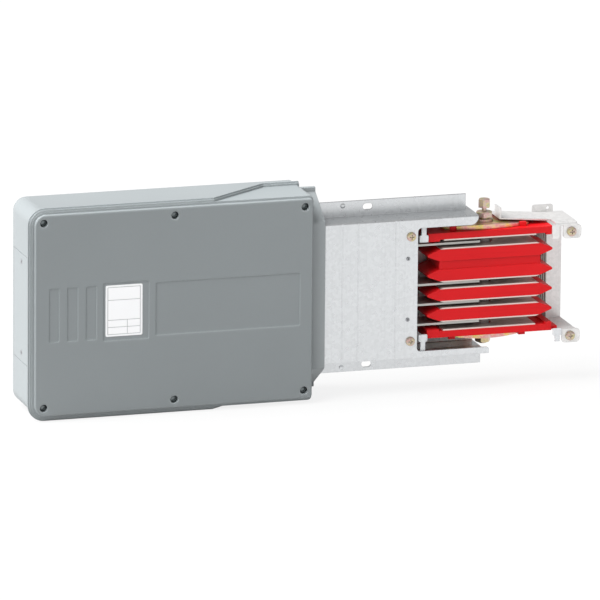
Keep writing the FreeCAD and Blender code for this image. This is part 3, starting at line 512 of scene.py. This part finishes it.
class FeedUnitSizes(bpy.types.PropertyGroup):
    """Sizes of the pieces that the scene adds."""

    label_left: length_property("Label left", "Left edge of the label along the busway", -0.5495)
    label_right: length_property("Label right", "Right edge of the label along the busway", -0.4980)
    label_low: length_property("Label bottom", "Lower edge of the label", -0.0344)
    label_high: length_property("Label top", "Upper edge of the label", 0.0363)
    label_corner: length_property("Label corner", "Corner radius of the label", 0.002)
    label_thick: length_property("Label thickness", "Thickness of the label film", 0.00025)
    panel_depth: length_property("Panel depth", "Depth of the shallow panel that the label lies in", 0.0008)
    thread_depth: length_property("Thread height", "Height of a thread over its shank", 0.00028)
    lug_thread: length_property("Lug thread", "Threaded length of a lug screw", 0.012)
    lug_shank: length_property("Lug shank", "Shank radius of a lug screw", 0.003)
    earth_shank: length_property("Earth shank", "Shank radius of the earth stud", 0.004)
    earth_pitch: length_property("Earth pitch", "Thread pitch of the earth stud", 0.00125)
    contact_half: length_property("Contact half", "Half the length of a contact plate", 0.0705)
    contact_slope: length_property("Contact slope", "Length of the sloped end of a contact plate", 0.0045)
    contact_thick: length_property("Contact thickness", "Thickness of a contact plate", 0.002)
    contact_toe: length_property("Contact toe", "Thickness of a contact plate at its end", 0.0006)
    contact_hole: length_property("Contact hole", "Radius of the hole for the bolt's sleeve", 0.011)
    shank: length_property("Bolt shank", "Shank radius of the joint bolt", 0.006)
    collar: length_property("Bolt collar", "Radius of the collar under the hexagon", 0.0070)
    collar_height: length_property("Collar height", "Height of the collar", 0.0027)
    drive_flats: length_property("Hexagon", "Width over the flats of the lower hexagon", 0.0215)
    drive_height: length_property("Hexagon height", "Height of the lower hexagon", 0.0070)
    drive_turn: number_property("Hexagon turn", "Turn of the lower hexagon in degrees", 9.8)
    neck: length_property("Neck", "Radius of the neck that shears", 0.003)
    neck_height: length_property("Neck height", "Height of the neck that shears", 0.0055)
    shear_flats: length_property("Shear head", "Width over the flats of the upper hexagon", 0.0145)
    shear_height: length_property("Shear head height", "Height of the upper hexagon", 0.012)
    shear_turn: number_property("Shear head turn", "Turn of the upper hexagon in degrees", 2.8)
    flute_count: bpy.props.IntProperty(
        name="Flutes", description="Flutes beside the pack", default=6, min=1)
    flute_left: length_property("Flutes left", "Middle of the first flute along the busway", 0.0855)
    flute_radius: length_property("Flute radius", "Radius of a flute", 0.0015)
    flute_face: length_property("Flute face", "Front face of the bracket's web", 0.034)
    flute_low: length_property("Flute foot", "Lower end of the flutes", -0.0715)
    flute_length: length_property("Flute length", "Length of the flutes", 0.147)


class FeedUnitStage(bpy.types.PropertyGroup):
    """Camera and light."""

    turn: angle_property("Turn", "Camera turn to the left of the cover's normal", 17.231)
    tilt: angle_property("Tilt", "Camera height over the horizon", 14.120)
    roll: angle_property("Roll", "Camera roll", 0.489)
    distance: length_property("Distance", "Camera to the point that it looks at", 12.9825)
    lens: number_property("Lens", "Focal length in millimetres", 575.25, least=1.0)
    sky: number_property("Sky", "Strength of the even light", 0.50)
    key: number_property("Key", "Strength of the key light", 5.7)


# Meshes


def add_piece(name, mesh, body, material):
    """Puts a mesh into the scene as a piece of a body, with one material."""
    piece = bpy.data.objects.new(name, mesh)
    bpy.context.scene.collection.objects.link(piece)
    mesh.materials.clear()
    mesh.materials.append(material)
    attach(piece, body)
    return piece


def rounded_outline(left, right, low, high, r, steps=6):
    """Points round a rectangle with rounded corners."""
    corners = ((right - r, high - r, 0.0), (left + r, high - r, 90.0),
               (left + r, low + r, 180.0), (right - r, low + r, 270.0))
    points = []
    for x, z, start in corners:
        for i in range(steps + 1):
            a = math.radians(start + 90.0 * i / steps)
            points.append((x + r * math.cos(a), z + r * math.sin(a)))
    return points


def ring_mesh(name, rings, around=False):
    """A closed mesh over rings of points: capped at both ends, or joined round to its first ring."""
    made = bmesh.new()
    rows = [[made.verts.new(point) for point in ring] for ring in rings]
    pairs = list(zip(rows, rows[1:]))
    if around:
        pairs.append((rows[-1], rows[0]))
    else:
        made.faces.new(rows[-1])
        made.faces.new(list(reversed(rows[0])))
    for lower, upper in pairs:
        for i in range(len(lower)):
            k = (i + 1) % len(lower)
            made.faces.new((lower[i], lower[k], upper[k], upper[i]))
    bmesh.ops.recalc_face_normals(made, faces=made.faces)
    mesh = bpy.data.meshes.new(name)
    made.to_mesh(mesh)
    made.free()
    return mesh


def round_ring(radius, z, start=45.0, steps=48):
    """Points round a circle."""
    turns = [math.radians(start + 360.0 * i / steps) for i in range(steps)]
    return [(radius * math.cos(a), radius * math.sin(a), z) for a in turns]


def box_ring(half_x, half_y, z, steps=12):
    """Points round a rectangle, as many on each side."""
    corners = [(half_x, half_y), (-half_x, half_y), (-half_x, -half_y), (half_x, -half_y)]
    points = []
    for (x0, y0), (x1, y1) in zip(corners, corners[1:] + corners[:1]):
        for i in range(steps):
            share = i / steps
            points.append((x0 + (x1 - x0) * share, y0 + (y1 - y0) * share, z))
    return points


def hex_ring(flats, corner, z, fall):
    """Points round a hexagon. They fall the more they reach past its flats, as at a turned chamfer."""
    points = []
    for i in range(HEX_STEPS):
        turn = 360.0 * i / HEX_STEPS
        reach = 0.5 * flats / math.cos(math.radians(turn % 60.0 - 30.0))
        a = math.radians(corner + turn)
        points.append((reach * math.cos(a), reach * math.sin(a), z - fall * (reach - 0.5 * flats)))
    return points


def contact_mesh(name, sizes, half_d, face, side):
    """A contact plate on an insulator's face, with sloped ends and a hole for the bolt's sleeve."""
    top = face + side * sizes.contact_thick
    toe = face + side * sizes.contact_toe
    return ring_mesh(name, [
        round_ring(sizes.contact_hole, face),
        round_ring(sizes.contact_hole, top),
        box_ring(sizes.contact_half - sizes.contact_slope, half_d, top),
        box_ring(sizes.contact_half, half_d, toe),
        box_ring(sizes.contact_half, half_d, face)], around=True)


def bolt_mesh(name, sizes, tail, seat):
    """The joint bolt from its tail up: shank, collar, hexagon, the neck that shears and its head."""
    collar_top = seat + sizes.collar_height
    drive_top = collar_top + sizes.drive_height
    neck_top = drive_top + sizes.neck_height
    low_turn, high_turn = sizes.drive_turn, sizes.shear_turn

    def ring(radius, z, corner):
        return round_ring(radius, z, corner, HEX_STEPS)

    def hexagon(flats, corner, low, high):
        return [hex_ring(flats, corner, low, 0.0),
                hex_ring(flats, corner, high - HEX_EDGE * flats, math.tan(HEX_CHAMFER)),
                ring(HEX_CROWN * flats, high, corner)]

    rings = [ring(sizes.shank - TAIL_CHAMFER, tail, low_turn),
             ring(sizes.shank, tail + TAIL_CHAMFER, low_turn),
             ring(sizes.shank, seat, low_turn),
             ring(sizes.collar, seat, low_turn),
             ring(sizes.collar, collar_top, low_turn)]
    rings += hexagon(sizes.drive_flats, low_turn, collar_top, drive_top)
    rings += [ring(sizes.neck, drive_top, high_turn), ring(sizes.neck, neck_top, high_turn)]
    rings += hexagon(sizes.shear_flats, high_turn, neck_top, neck_top + sizes.shear_height)
    mesh = ring_mesh(name, rings)
    mesh.shade_smooth()
    mesh.set_sharp_from_angle(angle=SHARP_ANGLE)
    return mesh


def label_mesh(sizes, face_y):
    """A thin film with a rolled edge, lying on a face that looks along -Y."""
    left, right, low, high = sizes.label_left, sizes.label_right, sizes.label_low, sizes.label_high
    rings = []
    for inset, rise in LABEL_EDGE:
        ring = rounded_outline(left + inset, right - inset, low + inset, high - inset,
                               sizes.label_corner - inset)
        rings.append([(x, face_y - rise * sizes.label_thick, z) for x, z in ring])
    return ring_mesh("label", rings)


def ridge_tree():
    """Geometry nodes: a ridge on each point of the host mesh, a helix or, with no radius, a bead."""
    tree = bpy.data.node_groups.new("swept_ridges", "GeometryNodeTree")
    face = tree.interface
    face.new_socket(name="Geometry", in_out="INPUT", socket_type="NodeSocketGeometry")
    inputs = {}
    kinds = {"Radius": "Float", "Height": "Float", "Sides": "Int", "Turns": "Float", "Length": "Float",
             "Aim": "Vector", "Finish": "Material"}
    for label, kind in kinds.items():
        inputs[label] = face.new_socket(name=label, in_out="INPUT", socket_type="NodeSocket" + kind)
    face.new_socket(name="Geometry", in_out="OUTPUT", socket_type="NodeSocketGeometry")
    nodes, links = tree.nodes, tree.links
    start = nodes.new("NodeGroupInput")
    end = nodes.new("NodeGroupOutput")
    helix = nodes.new("GeometryNodeCurveSpiral")
    helix.inputs["Resolution"].default_value = TURN_STEPS
    ridge = nodes.new("GeometryNodeCurvePrimitiveCircle")
    sweep = nodes.new("GeometryNodeCurveToMesh")
    sweep.inputs["Fill Caps"].default_value = True
    euler = nodes.new("FunctionNodeEulerToRotation")
    spread = nodes.new("GeometryNodeInstanceOnPoints")
    real = nodes.new("GeometryNodeRealizeInstances")
    coat = nodes.new("GeometryNodeSetMaterial")
    links.new(start.outputs["Radius"], helix.inputs["Start Radius"])
    links.new(start.outputs["Radius"], helix.inputs["End Radius"])
    links.new(start.outputs["Turns"], helix.inputs["Rotations"])
    links.new(start.outputs["Length"], helix.inputs["Height"])
    links.new(start.outputs["Height"], ridge.inputs["Radius"])
    links.new(start.outputs["Sides"], ridge.inputs["Resolution"])
    links.new(helix.outputs["Curve"], sweep.inputs["Curve"])
    links.new(ridge.outputs["Curve"], sweep.inputs["Profile Curve"])
    links.new(start.outputs["Aim"], euler.inputs["Euler"])
    links.new(start.outputs["Geometry"], spread.inputs["Points"])
    links.new(sweep.outputs["Mesh"], spread.inputs["Instance"])
    links.new(euler.outputs["Rotation"], spread.inputs["Rotation"])
    links.new(spread.outputs["Instances"], real.inputs["Geometry"])
    links.new(real.outputs["Geometry"], coat.inputs["Geometry"])
    links.new(start.outputs["Finish"], coat.inputs["Material"])
    links.new(coat.outputs["Geometry"], end.inputs["Geometry"])
    return tree, inputs


def ridges(name, tree, inputs, points, **values):
    """A plain mesh of ridges that start at the points."""
    seed = bpy.data.meshes.new(name + "_points")
    seed.from_pydata([tuple(p) for p in points], [], [])
    host = bpy.data.objects.new(name + "_host", seed)
    bpy.context.scene.collection.objects.link(host)
    modifier = host.modifiers.new("ridges", "NODES")
    modifier.node_group = tree
    for label, value in values.items():
        modifier[inputs[label].identifier] = value
    bpy.context.view_layer.update()
    graph = bpy.context.evaluated_depsgraph_get()
    mesh = bpy.data.meshes.new_from_object(host.evaluated_get(graph))
    host.modifiers.remove(modifier)
    bpy.data.objects.remove(host)
    bpy.data.meshes.remove(seed)
    if not mesh.polygons:
        raise RuntimeError("no ridges were made for " + name)
    return mesh


def centre(node):
    """The middle of a node's box."""
    low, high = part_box(node)
    return (Vector(low) + Vector(high)) / 2


def paint(material, *names):
    """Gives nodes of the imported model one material."""
    for name in names:
        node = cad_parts[name]
        if not node.material_slots:
            node.data.materials.append(material)
        for held in node.material_slots:
            held.material = material


# Operators


class DressBox(bpy.types.Operator):
    """Finish the cable box: base, cover, seals, gland plate and their screws"""

    bl_idname = "feed_unit.dress_box"
    bl_label = "Dress the box"

    def execute(self, context):
        tones = context.scene.feed_unit_finishes
        # One grey plastic in two tones of painted light and shade; the base also gets painted shade in its
        # corners, and the cover painted top light.
        base = moulded_plastic("grained_base_grey", tuple(tones.base), gloss=0.46, grain=0.07, painted_corner_shade=0.7)
        cover = moulded_plastic("satin_cover_grey", tuple(tones.cover), gloss=0.38, grain=0.05, worn=1.9,
                                soft=2.0 * MM, rub=2.2 * MM, painted_top_light_and_dust=1.0)
        paint(base, "box_base", "gland_plate")
        paint(cover, "box_cover")
        paint(foam_seal("black_foam_seal", tuple(tones.seal)), "cover_gasket", "gland_gasket")
        # The cover screws are coloured dark as painted shade of their deep holes.
        paint(bright_zinc("cover_screw_painted_shade", tuple(tones.black)), "cover_screws")
        paint(bright_zinc("gland_screw_zinc", tint(tuple(tones.zinc), 0.75)), "gland_screws")
        return {"FINISHED"}


class DressTrunking(bpy.types.Operator):
    """Finish the sheet-metal trunking, its bracket, rivets, screws and clips"""

    bl_idname = "feed_unit.dress_trunking"
    bl_label = "Dress the trunking"

    def execute(self, context):
        tones = context.scene.feed_unit_finishes
        # The bracket and the trunking sheet get painted shade in their recesses.
        bracket = galvanised_sheet("bracket_spangle", tuple(tones.bracket), smooth=0.32, cell=210.0,
                                   metal=0.55, painted_recess_shade=0.12)
        screws = yellow_passivate("pan_screw_passivate", tuple(tones.screw), glaze=0.45)
        clips = moulded_plastic("clip_white", tuple(tones.white), gloss=0.40, grain=0.03,
                                grain_scale=1800.0, worn=1.05)
        paint(galvanised_sheet("trunking_spangle", tuple(tones.sheet)), "shell_front", "shell_rear")
        paint(bracket, "joint_bracket")
        # The rivets' zinc is painted darker, as shade of their bores.
        paint(bright_zinc("rivet_zinc_painted_shade", tint(tuple(tones.zinc), 0.7)), "shell_rivets", "bracket_rivets")
        paint(screws, "shell_screws", "lug_screw_top", "lug_screw_bottom")
        paint(clips, "retaining_clips")
        return {"FINISHED"}


class DressJoint(bpy.types.Operator):
    """Finish the joint pack: red insulators, spring plates and the bolt's sleeve"""

    bl_idname = "feed_unit.dress_joint"
    bl_label = "Dress the joint pack"

    def execute(self, context):
        tones = context.scene.feed_unit_finishes
        springs = yellow_passivate("spring_passivate", tuple(tones.gold), glaze=0.9, patch=55.0)
        sleeve = moulded_plastic("sleeve_grey", tuple(tones.sleeve), gloss=0.40, grain=0.03)
        paint(red_moulding("insulator_red", tuple(tones.red)), "insulator_a", "insulator_b", "insulator_c",
              "insulator_d", "end_insulator_top", "end_insulator_bottom")
        paint(red_moulding("filler_red", tint(tuple(tones.red), 0.90)), "blank_filler")
        paint(springs, "spring_top", "spring_bottom")
        paint(sleeve, "bolt_tube")
        return {"FINISHED"}


class DressInside(bpy.types.Operator):
    """Finish what is inside: busbars, combs, terminals and the earth stud"""

    bl_idname = "feed_unit.dress_inside"
    bl_label = "Dress the inside"

    def execute(self, context):
        tones = context.scene.feed_unit_finishes
        # The combs' colour is painted shade of the trunk's inside, greened to offset red bounce light.
        combs = moulded_plastic("comb_dark", tuple(tones.comb), gloss=0.48)
        paint(drawn_bar("busbar_drawn", tuple(tones.bars), BAR_STAIN, metal=0.55),
              "busbar_1", "busbar_2", "busbar_3", "busbar_4", "earth_plate")
        paint(combs, "bar_comb_joint", "bar_comb_box")
        paint(bright_zinc("terminal_zinc", tuple(tones.zinc)), "terminal_bolts", "terminal_washers",
              "terminal_nuts", "earth_stud", "earth_nut")
        return {"FINISHED"}


class AddLabel(bpy.types.Operator):
    """Lay the blank label in its shallow panel of the cover"""

    bl_idname = "feed_unit.add_label"
    bl_label = "Add the label"

    def execute(self, context):
        tones = context.scene.feed_unit_finishes
        sizes = context.scene.feed_unit_sizes
        left, right, low, high = sizes.label_left, sizes.label_right, sizes.label_low, sizes.label_high
        face_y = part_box("box_cover")[0][1] + sizes.panel_depth
        middle = (0.5 * (left + right), 0.5 * (low + high))
        half = (0.5 * (right - left), 0.5 * (high - low))
        stock = label_stock("label_film", tuple(tones.paper), tuple(tones.ink), middle, half)
        add_piece("cover_label", label_mesh(sizes, face_y), "cover", stock)
        return {"FINISHED"}


class AddContacts(bpy.types.Operator):
    """Lay the contact plates on the faces of the insulators"""

    bl_idname = "feed_unit.add_contacts"
    bl_label = "Add the contact plates"

    def execute(self, context):
        tones = context.scene.feed_unit_finishes
        sizes = context.scene.feed_unit_sizes
        tin = drawn_bar("contact_tin", tuple(tones.contact), TIN_STAIN)
        places = (("a", "upper", "pack_ab"), ("b", "lower", "pack_ab"), ("c", "upper", "pack_c"),
                  ("c", "lower", "pack_c"), ("d", "upper", "pack_d"), ("d", "lower", "pack_d"))
        for letter, level, body in places:
            node = "contact_%s_%s" % (letter, level)
            low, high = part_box("insulator_" + letter)
            face, side = (high.z, 1.0) if level == "upper" else (low.z, -1.0)
            mesh = contact_mesh(node + "_plate", sizes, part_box(node)[1].y, face, side)
            plate = add_piece(node + "_plate", mesh, body, tin)
            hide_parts(node)
        paint(tin, "contact_top", "contact_bottom")
        return {"FINISHED"}


class AddBolt(bpy.types.Operator):
    """Stand the shear-head bolt in the joint"""

    bl_idname = "feed_unit.add_bolt"
    bl_label = "Add the joint bolt"

    def execute(self, context):
        tones = context.scene.feed_unit_finishes
        sizes = context.scene.feed_unit_sizes
        finish = yellow_passivate("bolt_passivate", tuple(tones.bolt), glaze=0.5, patch=110.0)
        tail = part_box("joint_bolt")[0].z
        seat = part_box("bolt_washer")[1].z
        mesh = bolt_mesh("shear_bolt", sizes, tail, seat)
        bolt = add_piece("shear_bolt", mesh, "bolt", finish)
        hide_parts("joint_bolt")
        paint(finish, "bolt_washer", "bolt_nut")
        return {"FINISHED"}


class AddRidges(bpy.types.Operator):
    """Add the threads of the lug screws and the earth stud, and the flutes of the bracket"""

    bl_idname = "feed_unit.add_ridges"
    bl_label = "Add threads and flutes"

    def execute(self, context):
        tones = context.scene.feed_unit_finishes
        sizes = context.scene.feed_unit_sizes
        tree, inputs = ridge_tree()
        self.lug_threads(sizes, tones, tree, inputs)
        self.earth_thread(sizes, tones, tree, inputs)
        self.flutes(sizes, tones, tree, inputs)
        return {"FINISHED"}

    def lug_threads(self, sizes, tones, tree, inputs):
        finish = yellow_passivate("thread_passivate", tuple(tones.screw), glaze=0.45)
        for node, body in (("lug_screw_top", "lug_screw_upper"), ("lug_screw_bottom", "lug_screw_lower")):
            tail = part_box(node)[1].y - THREAD_GAP
            spot = centre(node)
            start = Vector((spot.x, tail - sizes.lug_thread, spot.z))
            mesh = ridges(node + "_thread", tree, inputs, [start], Radius=sizes.lug_shank,
                          Height=sizes.thread_depth, Sides=THREAD_SIDES,
                          Turns=sizes.lug_thread / LUG_PITCH, Length=sizes.lug_thread,
                          Aim=BACKWARD, Finish=finish)
            add_piece(node + "_thread", mesh, body, finish)

    def earth_thread(self, sizes, tones, tree, inputs):
        finish = bright_zinc("thread_zinc", tuple(tones.zinc))
        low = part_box("earth_stud")[0]
        spot = centre("earth_stud")
        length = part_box("earth_nut")[0].y - low.y - 2.0 * THREAD_GAP
        start = Vector((spot.x, low.y + THREAD_GAP, spot.z))
        mesh = ridges("earth_stud_thread", tree, inputs, [start], Radius=sizes.earth_shank,
                      Height=sizes.thread_depth, Sides=THREAD_SIDES,
                      Turns=float(round(length / sizes.earth_pitch)), Length=length,
                      Aim=BACKWARD, Finish=finish)
        add_piece("earth_stud_thread", mesh, "casing", finish)

    def flutes(self, sizes, tones, tree, inputs):
        # The flutes' dark grey and their strong recess darkening are painted shade of the bracket's
        # channel.
        finish = galvanised_sheet("flute_spangle", tuple(tones.flutes), smooth=0.36, cell=210.0,
                                  metal=0.75, painted_recess_shade=0.5)
        span = 2.0 * sizes.flute_radius
        starts = [Vector((sizes.flute_left + i * span, sizes.flute_face, sizes.flute_low))
                  for i in range(sizes.flute_count)]
        mesh = ridges("bracket_flutes", tree, inputs, starts, Radius=0.0, Height=sizes.flute_radius,
                      Sides=FLUTE_SIDES, Turns=1.0, Length=sizes.flute_length, Aim=UPRIGHT, Finish=finish)
        add_piece("bracket_flutes", mesh, "casing", finish)


class SetStage(bpy.types.Operator):
    """Set the floor, the even white surround, the key light and the camera"""

    bl_idname = "feed_unit.set_stage"
    bl_label = "Set the stage"

    def execute(self, context):
        scene = context.scene
        stage = scene.feed_unit_stage
        scene.view_settings.view_transform = "Standard"
        self.floor(scene, Vector(CAD_BOUNDS[0]).z - FLOOR_GAP)
        self.surround(scene, stage.sky)
        self.key_light(scene, stage.key)
        self.camera(scene, stage)
        return {"FINISHED"}

    @staticmethod
    def seen(g):
        """1 for rays that show the background: camera, glossy and transmission rays."""
        camera, glossy, through = (g.node("ShaderNodeLightPath", {}, {}, "Is %s Ray" % kind)
                                   for kind in ("Camera", "Glossy", "Transmission"))
        return (camera + glossy + through).clamped()

    def floor(self, scene, level):
        """A wide floor that looks white and still takes a shadow."""
        made = bmesh.new()
        corners = ((-1, -1), (1, -1), (1, 1), (-1, 1))
        made.faces.new([made.verts.new((x * FLOOR_HALF, y * FLOOR_HALF, level)) for x, y in corners])
        mesh = bpy.data.meshes.new("studio_floor")
        made.to_mesh(mesh)
        made.free()
        floor = bpy.data.objects.new("studio_floor", mesh)
        scene.collection.objects.link(floor)
        material, g = new_graph("pale_floor")
        diffuse = g.node("ShaderNodeBsdfDiffuse", {}, {"Color": FLOOR_GREY})
        glow = g.node("ShaderNodeEmission", {}, {"Color": WHITE, "Strength": FLOOR_GLOW})
        both = g.node("ShaderNodeMixShader", {}, {0: self.seen(g) * GLOW_SHARE, 1: diffuse, 2: glow})
        g.node("ShaderNodeOutputMaterial", {}, {"Surface": both})
        mesh.materials.append(material)

    def surround(self, scene, strength):
        """An even world that looks white, and darker over the horizon in reflections."""
        world = bpy.data.worlds.new("white_surround")
        world.use_nodes = True
        g = Graph(world.node_tree)
        height = g.part(g.node("ShaderNodeTexCoord", {}, {}, "Generated"), "Z")
        values = {"Value": height, "From Min": 0.0, "From Max": HORIZON}
        above = g.node("ShaderNodeMapRange", {}, values)
        glossy = g.node("ShaderNodeLightPath", {}, {}, "Is Glossy Ray")
        shaded = 1.0 - above * glossy * SKY_SHADE
        level = g.between(self.seen(g), strength, 1.0) * shaded
        light = g.node("ShaderNodeBackground", {}, {"Color": WHITE, "Strength": level})
        g.node("ShaderNodeOutputWorld", {}, {"Surface": light})
        scene.world = world

    @staticmethod
    def key_light(scene, strength):
        """A broad sun from the upper left."""
        lamp = bpy.data.lights.new("key_light", "SUN")
        lamp.energy = strength
        lamp.angle = KEY_SPREAD
        holder = bpy.data.objects.new("key_light", lamp)
        holder.visible_glossy = False
        scene.collection.objects.link(holder)
        toward = Vector(KEY_WAY).normalized()
        holder.rotation_euler = toward.to_track_quat("-Z", "Y").to_euler()

    @staticmethod
    def camera(scene, stage):
        """The camera of the photograph, from its turn, tilt, roll and distance."""
        turn, tilt, roll = stage.turn, stage.tilt, stage.roll
        right = Vector((math.cos(turn), -math.sin(turn), 0.0))
        ahead = Vector((math.sin(turn) * math.cos(tilt), math.cos(turn) * math.cos(tilt), -math.sin(tilt)))
        up = Vector((math.sin(turn) * math.sin(tilt), math.cos(turn) * math.sin(tilt), math.cos(tilt)))
        across = right * math.cos(roll) + up * math.sin(roll)
        upward = up * math.cos(roll) - right * math.sin(roll)
        lens = bpy.data.cameras.new("camera")
        lens.sensor_width = SENSOR_WIDTH
        lens.lens = stage.lens
        lens.clip_end = CLIP_END
        holder = bpy.data.objects.new("camera", lens)
        scene.collection.objects.link(holder)
        turned = Matrix((across, upward, -ahead)).transposed().to_4x4()
        holder.matrix_world = Matrix.Translation(Vector(LOOK_AT) - ahead * stage.distance) @ turned
        scene.camera = holder


# Sidebar and registration


class FeedUnitPanel(bpy.types.Panel):
    """Sizes, colours and steps of the feed unit"""

    bl_idname = "VIEW3D_PT_feed_unit"
    bl_label = "Feed unit"
    bl_space_type = "VIEW_3D"
    bl_region_type = "UI"
    bl_category = "Feed unit"

    def draw(self, context):
        layout = self.layout
        scene = context.scene
        for step in STEPS:
            layout.operator(step.bl_idname)
        for held in (scene.feed_unit_finishes, scene.feed_unit_sizes, scene.feed_unit_stage):
            box = layout.box()
            for key in held.__annotations__:
                box.prop(held, key)


GROUPS = (FeedUnitFinishes, FeedUnitSizes, FeedUnitStage)
STEPS = (DressBox, DressTrunking, DressJoint, DressInside,
         AddLabel, AddContacts, AddBolt, AddRidges, SetStage)
CLASSES = GROUPS + STEPS + (FeedUnitPanel,)


def register():
    for made in CLASSES:
        bpy.utils.register_class(made)
    bpy.types.Scene.feed_unit_finishes = bpy.props.PointerProperty(type=FeedUnitFinishes)
    bpy.types.Scene.feed_unit_sizes = bpy.props.PointerProperty(type=FeedUnitSizes)
    bpy.types.Scene.feed_unit_stage = bpy.props.PointerProperty(type=FeedUnitStage)


def unregister():
    del bpy.types.Scene.feed_unit_stage
    del bpy.types.Scene.feed_unit_sizes
    del bpy.types.Scene.feed_unit_finishes
    for made in reversed(CLASSES):
        bpy.utils.unregister_class(made)


def main():
    register()
    bpy.ops.feed_unit.dress_box()
    bpy.ops.feed_unit.dress_trunking()
    bpy.ops.feed_unit.dress_joint()
    bpy.ops.feed_unit.dress_inside()
    bpy.ops.feed_unit.add_label()
    bpy.ops.feed_unit.add_contacts()
    bpy.ops.feed_unit.add_bolt()
    bpy.ops.feed_unit.add_ridges()
    bpy.ops.feed_unit.set_stage()


if __name__ == "__main__":
    main()
